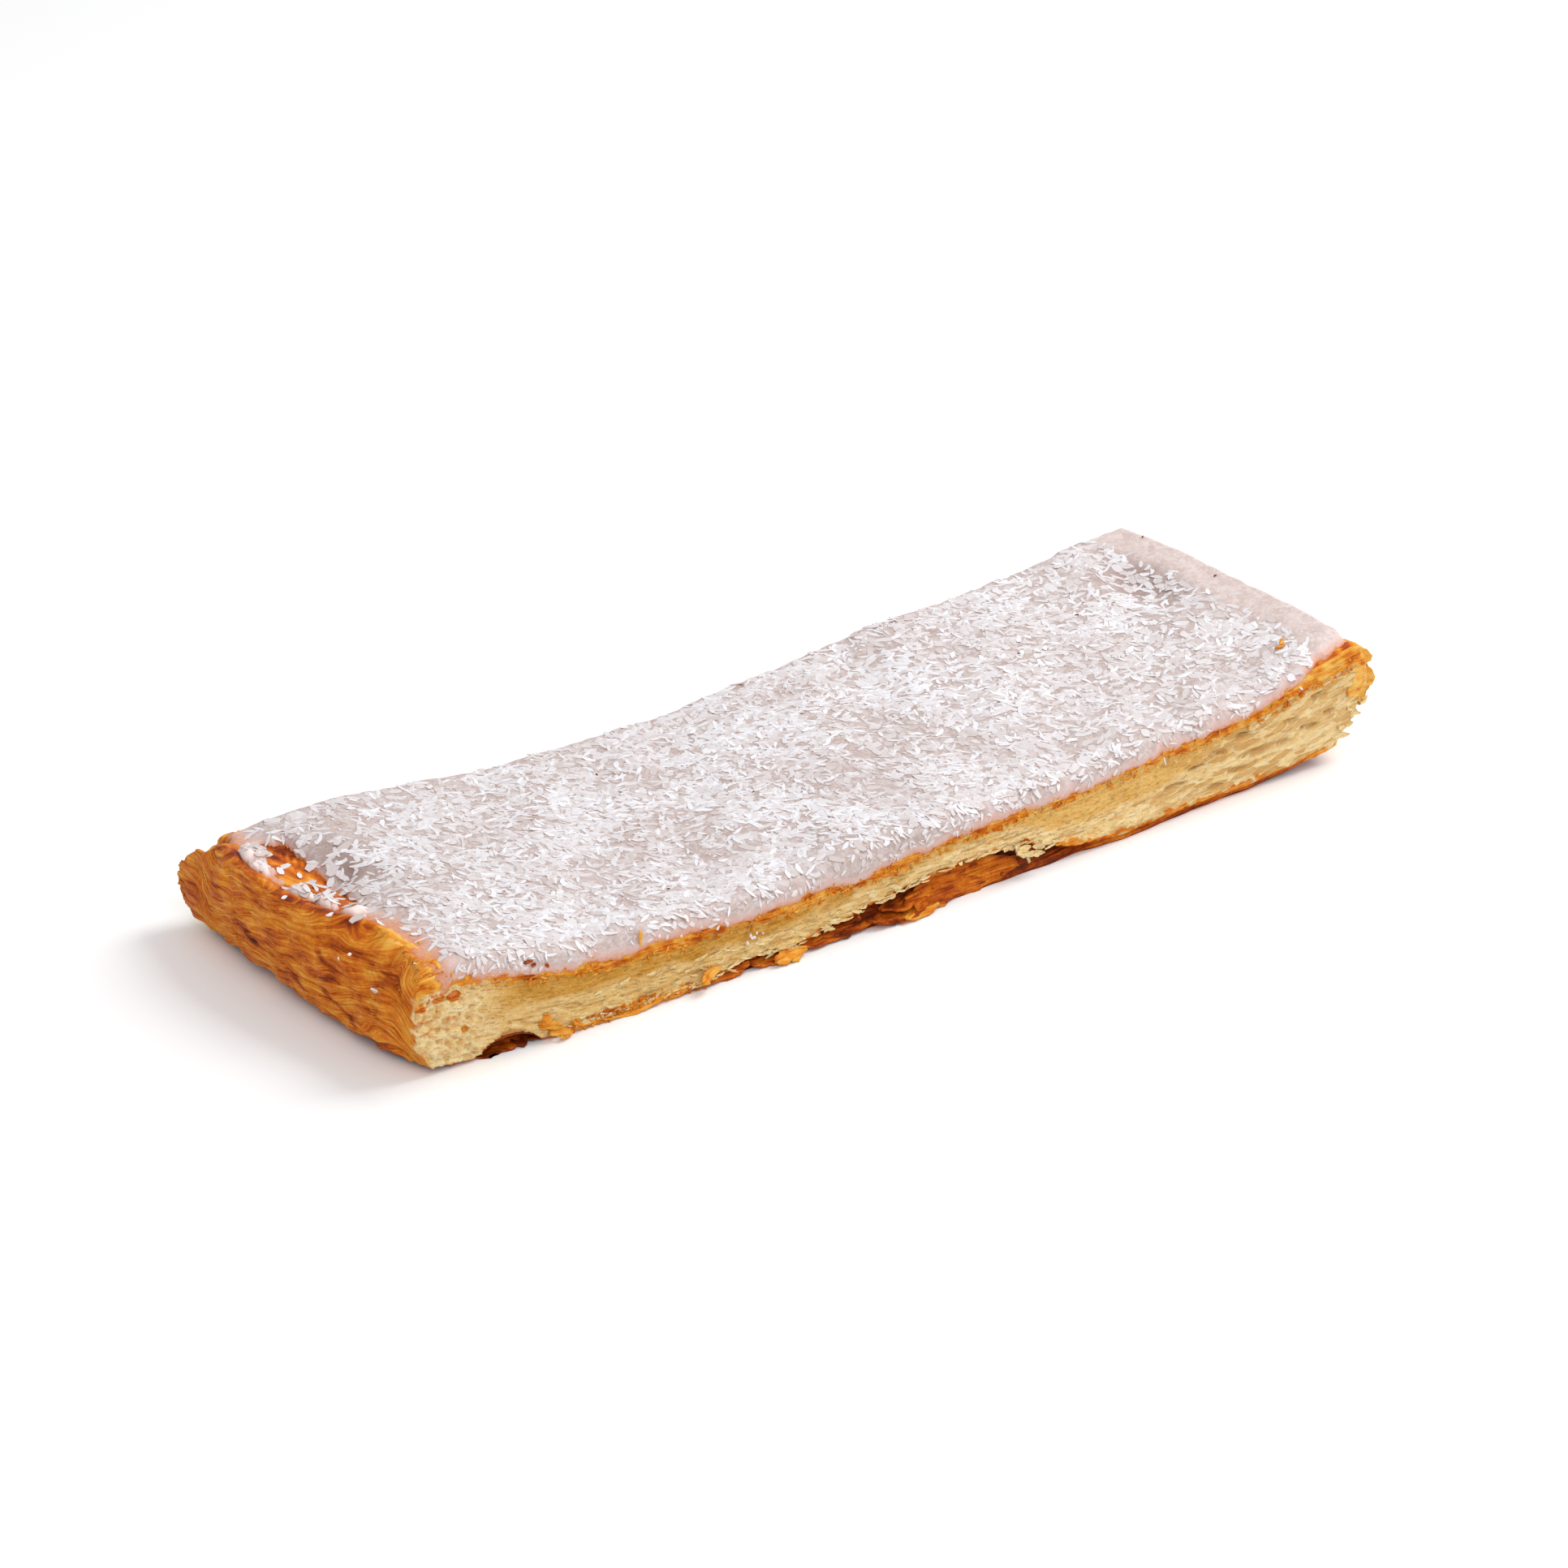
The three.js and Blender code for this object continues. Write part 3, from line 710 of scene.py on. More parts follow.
def make_dough_material(name, glow):
    """Glow is the share of light that wanders below the surface; thin flakes get none."""
    material, tree, shader = new_material(name)
    place = in_millimetres(tree)
    layers = add(tree, "Attribute", attribute_name="layers").outputs["Vector"]
    threads = along_layers(tree, layers, (0.11, 2.4, 0.11), 5, 0.7, 0.8)
    short_slits = along_layers(tree, layers, (0.75, 2.8, 0.75), 3, 0.6, 0.2)
    slit_here = soft_step(tree, short_slits, 0.43, 0.34)
    cell_here = inside_cells(tree, layers)
    speckle = noise_node(tree, place, 1.7, 4, 0.7)
    crust = crust_colour(tree, place, layers, threads, speckle)
    crumb = crumb_colour(tree, place, layers, cell_here, slit_here)
    crumb_here = soft_step(tree, stirred(tree, number(tree, "is_crumb"), speckle, 0.9), 0.25, 0.75)
    tree.links.new(blend(tree, crumb_here, crust, crumb), shader.inputs["Base Color"])
    gloss = add(tree, "MapRange", {"Value": crumb_here, "To Min": 0.5, "To Max": 0.9})
    tree.links.new(gloss.outputs["Result"], shader.inputs["Roughness"])

    grain_fine = noise_node(tree, place, 2.6, 4, 0.7)
    skin_relief = maths(tree, "MULTIPLY_ADD", threads, 0.8, share_of(tree, grain_fine, 0.5))
    crumb_relief = maths(tree, "MULTIPLY_ADD", slit_here, -0.5, grain_fine)
    crumb_relief = maths(tree, "MULTIPLY_ADD", cell_here, -0.9, crumb_relief)
    relief = add(tree, "Mix", {0: crumb_here, 2: skin_relief, 3: crumb_relief}).outputs[0]
    finish = {
        "Subsurface Weight": glow,
        "Subsurface Radius": (1.0, 0.5, 0.2),
        "Subsurface Scale": GLOW_DEPTH,
        "Specular IOR Level": 0.15,
    }
    set_finish(tree, shader, finish, {"Strength": 0.8, "Distance": 0.0006, "Height": relief})
    return material


dough_material = make_dough_material("baked_dough", 0.2)
thin_material = make_dough_material("thin_dough", 0.0)
finish_piece(dough_mesh, "dough_bar", dough_material, "pastry")

# %% [markdown]
# ## Crags and lumps of crumb
#
# Where the dough tore, bits of it still hang on: a golden chunk beside the cave and the torn flap
# at the right corner. Each starts as a few balls, which are made lumpy with noise.

# %% Lumpy bits
FLOOR_GAP = 0.02


def lumpy_bit(name, bits, bake_here, crumb_here, lumpiness, grain, detail=4, stands_for="pastry"):
    """Several lumpy balls in one mesh: middle, half sizes, turn in degrees."""
    bm = bmesh.new()
    for middle, sizes, turn in bits:
        made = bmesh.ops.create_icosphere(bm, subdivisions=detail, radius=1)["verts"]
        place = Matrix.LocRotScale(Vector(middle), Euler((0, 0, math.radians(turn))), Vector(sizes))
        bmesh.ops.transform(bm, matrix=place, verts=made)
    mesh = mesh_of(bm, name)
    at, out = points_of(mesh), normals_of(mesh)
    swell = rough((grain * 1.6,) * 3, *at.T) + 0.6 * rough((grain * 0.7,) * 3, *at.T)
    size = min(min(sizes) for _, sizes, _ in bits)
    at = at + out * (swell * lumpiness * size * 1.6)[:, None]
    at[:, 2] = np.maximum(at[:, 2], FLOOR_GAP)
    set_points(mesh, at)
    pale_tops = np.clip(crumb_here + 0.6 * swell, 0, 1)
    # Painted shade in the dips of each lump.
    keep_finish(mesh, at, bake_here + 0.2 * swell, pale_tops, np.clip(-swell, 0, 1))
    finish_piece(mesh, name, dough_material, stands_for)


def keep_finish(mesh, at, bake_here, crumb_here, groove_here=0.0):
    """The numbers that the dough material reads, for a small piece."""
    none = np.zeros(len(at))
    paint(
        mesh, bake=none + bake_here, is_crumb=none + crumb_here, dense=none, groove=none + groove_here,
        warmth=none + 0.3, open=none, layers=at[:, [0, 2, 1]],
    )


CHUNK = [((-78.2, -33.8, 3.0), (1.2, 1.0, 1.6), 20), ((-77.0, -34.6, 1.7), (1.0, 0.8, 1.2), 30)]
FLAP = [((100.6, -31.2, 13.6), (2.2, 0.9, 4.2), -8), ((98.8, -31.4, 17.6), (2.6, 0.8, 2.6), -6)]
lumpy_bit("hanging_chunk", CHUNK, 0.38, 0.2, 0.4, 0.6)
lumpy_bit("torn_flap", FLAP, 0.28, 0.3, 0.14, 1.2)

# %% [markdown]
# ## Flakes of the underside
#
# The lowest sheets of the dough fried brown on the tray and curl away under the front edge. They
# are thin, so each is a small grid that is bent and frayed, then given a thickness. The loose bit
# under the lip and the sheets of the two torn corners are made the same way, only paler.

# %% Thin brown flakes
FLAKE_THICK = 0.28


def thin_flake(bm, middle, length, width, curl, turn, tip, seed):
    """A frayed, curled sheet: curl lifts both its ends, tip leans it, turn swings it round."""
    made = bmesh.ops.create_grid(bm, x_segments=22, y_segments=7, size=0.5)["verts"]
    for vert in made:
        s, t = vert.co.x * 2, vert.co.y * 2
        fray = 1 + 0.3 * noise.noise(Vector((s * 3 + seed, t * 1.3, seed)))
        fray = fray + 0.3 * noise.noise(Vector((s * 8 + seed, t * 2, seed + 5)))
        half = math.sqrt(max(1 - s * s, 0.1)) * fray
        wave = 0.35 * noise.noise(Vector((s * 2.2, t * 1.1, seed * 1.7)))
        vert.co = (s * length / 2, t * half * width / 2, curl * s * s + wave * width * 0.4)
    angles = Euler((math.radians(tip), 0, math.radians(turn)))
    place = Matrix.LocRotScale(Vector(middle), angles, Vector((1, 1, 1)))
    bmesh.ops.transform(bm, matrix=place, verts=made)
    faces = list({f for vert in made for f in vert.link_faces})
    bmesh.ops.solidify(bm, geom=faces, thickness=FLAKE_THICK)


def flakes(name, rows, bake_here, spread, crumb_here):
    """Several thin flakes as one piece."""
    bm = bmesh.new()
    for index, row in enumerate(rows):
        thin_flake(bm, *row, seed=3.1 * index + bake_here)
    bmesh.ops.recalc_face_normals(bm, faces=bm.faces)
    mesh = mesh_of(bm, name)
    at = points_of(mesh)
    at[:, 2] = np.maximum(at[:, 2], FLOOR_GAP)
    set_points(mesh, at)
    keep_finish(mesh, at, bake_here + spread * rough((2.5, 1.5, 1.5), *at.T), crumb_here)
    finish_piece(mesh, name, thin_material, "pastry")


# Piece: how baked, how unevenly, how much of it is crumb, and its flakes,
# each with its middle, length, width, curl, turn and tip in degrees
FLAKES = {
    "dark_flakes": (0.62, 0.3, 0.0, [
        ((-20, -34.0, 0.9), 17, 3.4, 0.6, 0, 12), ((-21, -33.2, 1.5), 15, 3.0, 0.3, 2, 20),
        ((-6.5, -34.6, 0.8), 13, 4.6, 1.0, 3, 8), ((-4, -33.6, 2.0), 12, 3.2, 0.7, 3, 14),
        ((-31, -34.2, 0.7), 13, 3.0, 0.3, 4, 12), ((-44, -34.2, 1.0), 12, 2.8, 0.5, -3, 22),
        ((-36, -33.2, 1.5), 14, 2.4, 0.3, 2, 14),
    ]),
    # Dark sheets lying on the floor inside the cave: partly flakes of skin, partly painted shade over the
    # floor.
    "cave_shade_flakes": (0.78, 0.12, 0.0, [
        ((-84.2, -30.6, 0.2), 17, 7.0, 0.1, -1, 0), ((-82, -29, 1.4), 14, 6, 0.6, 2, 24),
    ]),
    "golden_flakes": (0.34, 0.18, 0.0, [
        ((-46.8, -35.8, 2.3), 6.6, 1.9, 0.5, 28, 62), ((-30.4, -36.0, 1.1), 7.0, 2.6, 0.3, 6, 34),
        ((-62, -34.8, 0.8), 13, 2.4, 0.5, -2, 26), ((-70, -34.6, 1.4), 7, 1.8, 0.4, 5, 40),
        ((-54, -34.9, 0.9), 6, 1.6, 0.3, -6, 34), ((-3, -36.4, 0.7), 8, 1.6, 0.5, 8, 18),
        ((-77.9, -35.0, 2.9), 3.6, 1.5, 0.5, -40, 56), ((-76.7, -35.7, 1.5), 3.2, 1.3, 0.4, -24, 64),
        ((-75.6, -36.0, 0.8), 2.8, 1.0, 0.3, 12, 34),
    ]),
    "loose_bit": (0.24, 0.16, 0.85, [
        ((20.0, -35.0, 4.9), 3.8, 1.3, 0.5, 15, 60), ((22.6, -35.4, 3.8), 3.0, 1.1, 0.5, -25, 50),
        ((19.0, -34.9, 5.5), 2.2, 1.2, 0.3, 40, 80), ((21.2, -35.3, 3.1), 2.2, 0.9, 0.4, 50, 60),
        ((23.6, -35.0, 4.6), 2.0, 0.8, 0.3, -40, 70), ((20.8, -35.2, 4.0), 2.4, 1.0, 0.4, -10, 75),
    ]),
    "folded_skin": (0.58, 0.2, 0.0, [
        ((7.6, -33.4, 2.2), 25, 5.8, 0.6, 2, 62), ((1.5, -34.6, 1.0), 10, 2.6, 0.5, 4, 30),
    ]),
    "torn_sheets": (0.3, 0.2, 0.7, [
        ((98.6, -32.4, 9.6), 4.6, 1.4, 0.4, 20, 60), ((97.6, -32.8, 8.2), 4.2, 1.2, 0.3, -15, 80),
        ((98.9, -32.0, 7.6), 3.4, 1.1, 0.5, 30, 40), ((96.4, -33.0, 6.4), 4.0, 1.2, 0.3, 8, 70),
        ((95.2, -33.2, 4.8), 3.6, 1.0, 0.3, -10, 75), ((101.4, -31.6, 9.4), 3.4, 1.2, 0.5, 12, 30),
    ]),
    "corner_sheets": (0.24, 0.16, 0.2, [
        ((101.0, -32.0, 13.0), 5.4, 6.4, 0.4, 8, 86), ((99.6, -32.3, 18.0), 5.6, 4.0, 0.3, -4, 84),
        ((98.8, -32.9, 12.6), 5.0, 2.2, 0.4, 8, 78),
    ]),
}
for piece, (bake_here, spread, crumb_here, rows) in FLAKES.items():
    flakes(piece, rows, bake_here, spread, crumb_here)

# %% [markdown]
# ## Loose crumbs on the cut
#
# A knife tears laminated crumb more than it cuts it, so hundreds of tiny slivers stand off the cut
# face and fringe its lower lip. A few slivers are shaped, and each is copied many times into one
# mesh with arrays. The coconut on top is made the same way later.

# %% Shapes of single slivers
VARIANTS = 3


def shred_shape(squares, bend, taper, seed):
    """A little curved sliver of size 1: thin, frayed, and pointed by taper."""
    bm = grid_box(squares)
    for vert in bm.verts:
        s = vert.co.x * 2
        fray = 1 + 0.6 * noise.noise(Vector((s * 1.9, vert.co.y * 3, seed)))
        half = (1 - taper * s * s) * fray
        lift = bend * s * s + 0.3 * noise.noise(Vector((s * 1.7, vert.co.y * 3, seed + 9)))
        sway = 0.35 * bend * s * s + 0.25 * noise.noise(Vector((s * 1.3, 0.5, seed + 4)))
        vert.co = (s / 2, vert.co.y * half + sway, vert.co.z * (1 - 0.5 * s * s) + lift)
    mesh = mesh_of(bm, "shred_shape")
    corners = np.array([list(f.vertices) for f in mesh.polygons])
    at = points_of(mesh)
    bpy.data.meshes.remove(mesh)
    return at, corners


def strew(name, shapes, places, angles, sizes, slopes=None, lean=None):
    """Copies the shapes in turn to every place, each with its own turn and size, as one mesh."""
    count = len(places)
    at = np.stack([shapes[i % len(shapes)][0] for i in range(count)])
    corners = shapes[0][1]
    turns = np.array([Euler(a).to_matrix() for a in angles])
    around = np.einsum("nij,nkj->nki", turns, at * sizes[:, None])
    if slopes is not None:
        around[:, :, 2] += np.einsum("nj,nkj->nk", slopes, around[:, :, :2])
    if lean is not None:
        leaning = np.array([Euler((angle, 0, 0)).to_matrix() for angle in lean])
        around = np.einsum("nij,nkj->nki", leaning, around)
    placed = around + places[:, None]
    points = at.shape[1]
    all_corners = corners[None] + (np.arange(count) * points)[:, None, None]
    mesh = bpy.data.meshes.new(name)
    mesh.from_pydata(placed.reshape(-1, 3), [], all_corners.reshape(-1, 4).tolist())
    return mesh, points


# %% Crumbs on the cut face
chance = np.random.default_rng(7)


def crumbs(name, count, reach_x, shares, sizes, bake_here, crumb_here, wild):
    """Slivers on the cut face between two shares of its height, which may follow the lip."""
    x = chance.uniform(*reach_x, count)
    low, high = (limit(x) if callable(limit) else limit for limit in shares)
    share = mix(low, high, chance.random(count) ** 1.6)
    y = front_face(x, np.maximum(share, lip_share(x) + 0.02)) - chance.uniform(0, 0.25, count)
    z = mix(underside(x), top_height(x, y), share)
    upright = 90 + chance.normal(0, 30, count)
    angles = np.radians(np.column_stack([upright, chance.normal(0, wild, (count, 2))]))
    scale = np.column_stack([chance.uniform(*pair, count) for pair in sizes])
    shapes = [shred_shape((3, 2, 1), 0.6, 0.6, seed=3 + 4.1 * i) for i in range(VARIANTS)]
    mesh, _ = strew(name, shapes, np.column_stack([x, y, np.maximum(z, 0.3)]), angles, scale)
    at = points_of(mesh)
    at[:, 2] = np.maximum(at[:, 2], FLOOR_GAP)
    set_points(mesh, at)
    keep_finish(mesh, at, bake_here + 0.15 * rough((2, 2, 2), *at.T), crumb_here)
    finish_piece(mesh, name, thin_material, "pastry", smooth=False)


def share_below(x, below):
    """The share of the height that lies that far below the border of crust and crumb."""
    return 1 - (crust_band(x) + below) / (front_edge(x) - underside(x))


# Piece: how many, reach along the bar, lowest and highest share of the height,
# sizes, how baked, how much of it is crumb, how wildly they turn
CRUMBS = {
    "pale_crumbs": (90, (-72, 30), (lip_share, 0.45), ((1.0, 3.2), (0.3, 0.7), (0.08, 0.16)), 0.2, 1.0, 12),
    "lip_crumbs": (
        90, (-74, 0), (lambda x: lip_share(x) - 0.02, lambda x: lip_share(x) + 0.04),
        ((1.0, 2.8), (0.2, 0.5), (0.08, 0.14)), 0.25, 1.0, 10,
    ),
    "foot_crumbs": (130, (-74, -46), (0.01, 0.16), ((0.6, 1.8), (0.25, 0.55), (0.12, 0.25)), 0.4, 0.2, 60),
    "crust_crumbs": (
        320, (-88, 98), (lambda x: share_below(x, 0.7), lambda x: share_below(x, -1.4)),
        ((0.6, 1.7), (0.3, 0.7), (0.12, 0.3)), 0.34, 0.15, 40,
    ),
}
for piece, settings in CRUMBS.items():
    crumbs(piece, *settings)

# %% [markdown]
# ## The icing
#
# Sugar icing was spread warm, so it is smooth, about a millimetre thick, and hangs a little over
# the front edge, where it thins out. It is made as a sheet over the crust. Where the crust is bare
# the sheet dips below it, so the border of the bare patch comes from the two shapes meeting.

# %% Border and thickness of the icing
ICING_FRONT_Y, ICING_BACK_Y = -33.2, 30.9
ROLL = EDGE_ROUND * math.pi / 2
ICING_THICK = 1.2
# The gap between the two solids, and how deep the sheet dips into bare crust
GAP, DIP = 0.3, 0.3
# Lumps of icing on the bare patch: middle, half sizes, turn in degrees
ICING_LUMPS = [
    (-99.0, 19.4, 18.2, 2.4, 3.4, 1.5, -20), (-100.6, 14.6, 18.2, 1.6, 2.2, 1.0, 10),
    (-99.8, 3.2, 18, 1.3, 2.6, 1.2, 15),
    (-98.6, -2.6, 18.2, 1.3, 2.0, 1.1, 30), (-96.4, -7.4, 18.2, 1.4, 1.8, 0.9, 40),
]
# How far in from the front edge the icing stops, below 0 where it hangs over it
icing_back_off = smooth_line(
    [
        (-98, -4.0), (-90, -3.6), (-84, -2.7), (-70, -2.1), (-54, -2.2), (-46, -1.4), (-35, -2.3),
        (-25, -1.9), (-14, -3.6), (-4, -3.1), (5, -2.4), (14, -1.8), (30, -1.9), (56, -1.8),
        (75, -1.0), (90, 0.3), (98, 1.4),
    ]
)
icing_right = smooth_line([(-33, 97.2), (-26, 98.4), (-15, 99.3), (31, 99)])
# Bare places: x, y, half sizes, turn in degrees
BARE_PLACES = [(-94.8, 8.4, 3.9, 15.4, -7), (-101, 8, 3, 2.2, 20)]


def turned(x, y, cx, cy, degrees):
    c, s = math.cos(math.radians(degrees)), math.sin(math.radians(degrees))
    return (x - cx) * c + (y - cy) * s, (y - cy) * c - (x - cx) * s


def round_edge(inwards, radius):
    """0 at the edge, 1 from one radius in, with the section of a bead."""
    return np.sqrt(1 - (1 - np.clip(inwards / radius, 0, 1)) ** 2)


def icing_cover(x, y):
    """The share of its full thickness that the icing has at a place, 0 where the crust is bare."""
    wander = rough((8, 8), x, y)
    small = rough((2.3, 2.3), x, y)
    line = ICING_FRONT_Y + icing_back_off(x) + 0.8 * rough((6, 50), x, y) + 0.6 * rough((2.2, 50), x, y)
    front = y - line
    cover = 0.3 * round_edge(front, 0.8) + 0.7 * step(0, 4.5, front)
    cover = np.minimum(cover, round_edge(ICING_BACK_Y - y + 0.5 * small, 1.6))
    cover = np.minimum(cover, round_edge(icing_right(y) - x + 0.3 * small, 1.8))
    left = x - icing_left(y) + 0.8 * small + 0.6 * wander
    cover = np.minimum(cover, 0.35 * round_edge(left, 1.5) + 0.65 * step(1, 8, left))
    for cx, cy, rx, ry, degrees in BARE_PLACES:
        a, b = turned(x, y, cx, cy, degrees)
        outside = (np.hypot(a / rx, b / ry) - 1) * 3.2
        cover = np.minimum(cover, round_edge(outside + 0.9 * small, 1.8))
    return cover


# %% Lay the icing over the rounded edge


def level_y(run):
    """y of a place if the front edge weren't rounded; run is measured over its rounding."""
    return FRONT_Y + EDGE_ROUND + run - ROLL


def run_at(y):
    return y - FRONT_Y - EDGE_ROUND + ROLL


def on_crust(x, run, lift):
    """Points above the crust, square to it, that follow the rounded front edge and right end."""
    turn = np.clip(run / EDGE_ROUND, 0, math.pi / 2)
    y = np.maximum(level_y(run), FRONT_Y + EDGE_ROUND) - EDGE_ROUND * np.cos(turn)
    past_end = np.maximum(x - right_brow(y) + RIGHT_SHOULDER, 0)
    drop = EDGE_ROUND * (1 - np.sin(turn)) - np.minimum(run, 0)
    z = top_height(x, y) - drop - edge_drop(BACK_Y - y) - 0.26 * past_end**2
    y = y - front_spread(x) * (drop / (front_edge(x) - underside(x))) ** 1.5
    return np.column_stack([x, y - lift * np.cos(turn), z + lift * np.sin(turn)])


def icing_lift(x, y):
    """Height of the icing above the crust; below 0 it lies hidden in the crust."""
    thick = ICING_THICK * mix(0.8, 1, step(-100, -84, x)) * (1 + 0.1 * step(88, 94, x))
    thick = thick * (1 - 0.5 * step(-83, -91, x) * step(-8, -18, y))
    lumpy = rough((1.4, 1.4), x, y)
    relief = 0.2 * rough((4.5, 4.5), x, y) + 0.05 * lumpy
    lift = (thick + GAP + DIP + relief) * icing_cover(x, y) - DIP
    crust = on_crust(x, run_at(y), 0)[:, 2]
    for cx, cy, cz, rx, ry, rz, degrees in ICING_LUMPS:
        a, b = turned(x, y, cx, cy, degrees)
        inside = 1 - (a / rx) ** 2 - (b / ry) ** 2
        lump = cz - crust + rz * np.sqrt(np.maximum(inside, 0)) * (1 + 0.8 * lumpy) + relief
        lift = np.where(inside > 0, np.maximum(lift, lump), lift)
    return lift


# %% The icing sheet
sheet = grid_box((330, 110, 1))
icing_mesh = mesh_of(sheet, "icing_coat")
u, v, w = (points_of(icing_mesh) + 0.5).T
lowest = run_at(ICING_FRONT_Y + icing_back_off(mix(-98, 98, u))) - 1.6
run = mix(lowest, run_at(ICING_BACK_Y + 0.3), crowded(v, 0.45))
y = level_y(run)
x = mix(icing_left(y) - 1.2, icing_right(y) + 0.3, crowded(u, 0.25))
lift = icing_lift(x, y)
set_points(icing_mesh, on_crust(x, run, np.where(w > 0.5, lift, -1.1)))
lumps = sum(patch(x, y, cx, cy, 4.25, 5.75) for cx, cy, *_ in ICING_LUMPS)
# Sunken dips where the icing lies deep and where shade is painted on it: x, y, half sizes
SHADED_DIPS = [(-86.5, 9, 7, 15), (86.5, 13, 8, 17)]
murky = sum(patch(x, y, *oval) for oval in SHADED_DIPS)
# The icing lumps and the strip at the right end are painted a light pink: partly the icing's own pink, partly
# painted light that lifts the shaded sides of the lumps.
paint(
    icing_mesh, thick=np.clip(lift / (ICING_THICK + GAP), 0, 1), murky=np.clip(murky, 0, 1),
    rosy=np.clip(lumps + 0.22 * step(88, 93, x), 0, 1),
)
print("icing thickness at most:", round(float(lift.max()), 2), "mm")

# %% [markdown]
# ## The finish of the icing
#
# Set icing is slightly translucent. Over a deep layer it looks greyish pink, and where it thins
# out the brown crust shines through, so the colour is mixed by the thickness that was kept.

# %% Icing material
DEEP_STOPS = [(0.3, tint(172, 151, 144)), (0.5, tint(186, 167, 161)), (0.7, tint(200, 186, 182))]
THIN_STOPS = [(0.08, tint(206, 112, 34)), (0.24, tint(206, 144, 112)), (0.56, tint(216, 184, 176))]
SUGAR_WHITE, DIP_SHADE_TONE, ROSY_LIT_TONE = tint(214, 206, 208), tint(150, 124, 118), tint(250, 229, 223)


def make_icing_material():
    material, tree, shader = new_material("sugar_icing")
    place = in_millimetres(tree)
    broad = noise_node(tree, place, 0.13, 3, 0.55)
    mottle = noise_node(tree, place, 0.4, 4, 0.6, 0.6)
    flecks = noise_node(tree, place, 1.0, 3, 0.6, 1.2)
    deep = ramp(tree, mottle, DEEP_STOPS)
    white = soft_step(tree, flecks, 0.46, 0.62)
    deep = blend(tree, share_of(tree, white, 0.6), deep, SUGAR_WHITE)
    # Painted shade in the sunken dips.
    deep = blend(tree, share_of(tree, number(tree, "murky"), 0.8), deep, DIP_SHADE_TONE)
    # Light pink on the lumps: partly the icing's pink, partly painted light.
    deep = blend(tree, number(tree, "rosy"), deep, ROSY_LIT_TONE)
    uneven = maths(tree, "MULTIPLY_ADD", broad, 0.25, number(tree, "thick"))
    uneven = stirred(tree, uneven, noise_node(tree, place, 1.5, 4, 0.75), 0.7)
    amount = soft_step(tree, uneven, 0.3, 0.9)
    colour = blend(tree, amount, ramp(tree, uneven, THIN_STOPS), deep)
    tree.links.new(colour, shader.inputs["Base Color"])
    finish = {
        "Roughness": 0.5,
        "Specular IOR Level": 0.35,
        "Subsurface Weight": 0.3,
        "Subsurface Radius": (1.0, 0.8, 0.7),
        "Subsurface Scale": GLOW_DEPTH,
    }
    crystals = noise_node(tree, place, 3.2, 4, 0.65)
    relief = maths(tree, "MULTIPLY_ADD", crystals, 0.35, flecks)
    set_finish(tree, shader, finish, {"Strength": 0.2, "Distance": 0.0003, "Height": relief})
    return material


finish_piece(icing_mesh, "icing_coat", make_icing_material(), "icing")

# %% [markdown]
# ## Grated coconut
#
# Thousands of shreds lie on and in the icing. A particle system would be quick, but its copies
# vanish in the exported model. Instead a few shreds are shaped, and each is copied many times
# into one mesh with arrays, turned and tipped at random from a fixed seed. Flat shading keeps the
# thin shreds from looking like pills.

# %% Where the shreds lie
# Places with fewer shreds: x, y, half sizes, how many fewer
SPARSE_PLACES = [(-86.5, 9, 8, 16, 0.6), (86, 14, 7, 15, 0.5)]


def shred_density(x, y):
    """1 where shreds lie thick, 0 where the icing or the crust is bare of them."""
    clouds = rough((13, 11), x, y) + 0.5 * rough((5, 5), x, y)
    density = mix(0.4, 1.0, step(-0.45, 0.35, clouds))
    for *oval, less in SPARSE_PLACES:
        density = density * (1 - less * patch(x, y, *oval))
    from_border = y - ICING_FRONT_Y - icing_back_off(x) - 0.8
    density = density * mix(0.05, 1, step(-0.2, 2.2, from_border + 1.2 * clouds))
    density = density * mix(1, 0.02, step(89.5, 92.5, x + 2 * clouds))
    density = density * step(0.6, 3, ICING_BACK_Y - y)
    density = density * mix(0.3, 1, step(2, 10, x - icing_left(y)))
    for cx, cy, _, rx, ry, _, degrees in ICING_LUMPS:
        a, b = turned(x, y, cx, cy, degrees)
        density = np.maximum(density, 0.3 * (np.hypot(a / rx, b / ry) < 0.8))
    return density * mix(0.16, 1, step(0.2, 0.7, icing_lift(x, y)))


def draw_places(count):
    """Random places on the top, kept with the chance that the density gives."""
    found = np.zeros((0, 2))
    while len(found) < count:
        x = chance.uniform(-101, 98.5, count)
        y = chance.uniform(FRONT_Y - 4, BACK_Y, count)
        kept = chance.random(count) < shred_density(x, y)
        found = np.vstack([found, np.column_stack([x[kept], y[kept]])])
    return found[:count]


def on_icing(spots, proud):
    """Points on the icing, that far above its surface."""
    x, y = spots.T
    return on_crust(x, run_at(y), np.maximum(icing_lift(x, y), 0.12) + proud)


def slopes_at(spots, span=0.7):
    """How steeply the icing rises along x and y."""
    along_x, along_y = np.array([span, 0]), np.array([0, span])
    rise = [on_icing(spots + d, 0)[:, 2] - on_icing(spots - d, 0)[:, 2] for d in (along_x, along_y)]
    return np.clip(np.stack(rise, axis=1) / (2 * span), -0.35, 0.35)


def lean_at(spots):
    """How far the icing leans over the rounded front edge, in radians."""
    return math.pi / 2 - np.clip(run_at(spots[:, 1]) / EDGE_ROUND, 0, math.pi / 2)


# %% [markdown]
# ## The finish of coconut
#
# Coconut flesh is white and waxy and lets a little light through. Shreds that sank into the icing
# carry a film of it, so each shred has its own number between icing grey and clean white. The
# downward faces of every shred are painted darker in the warm tone of the icing, a painted shade.

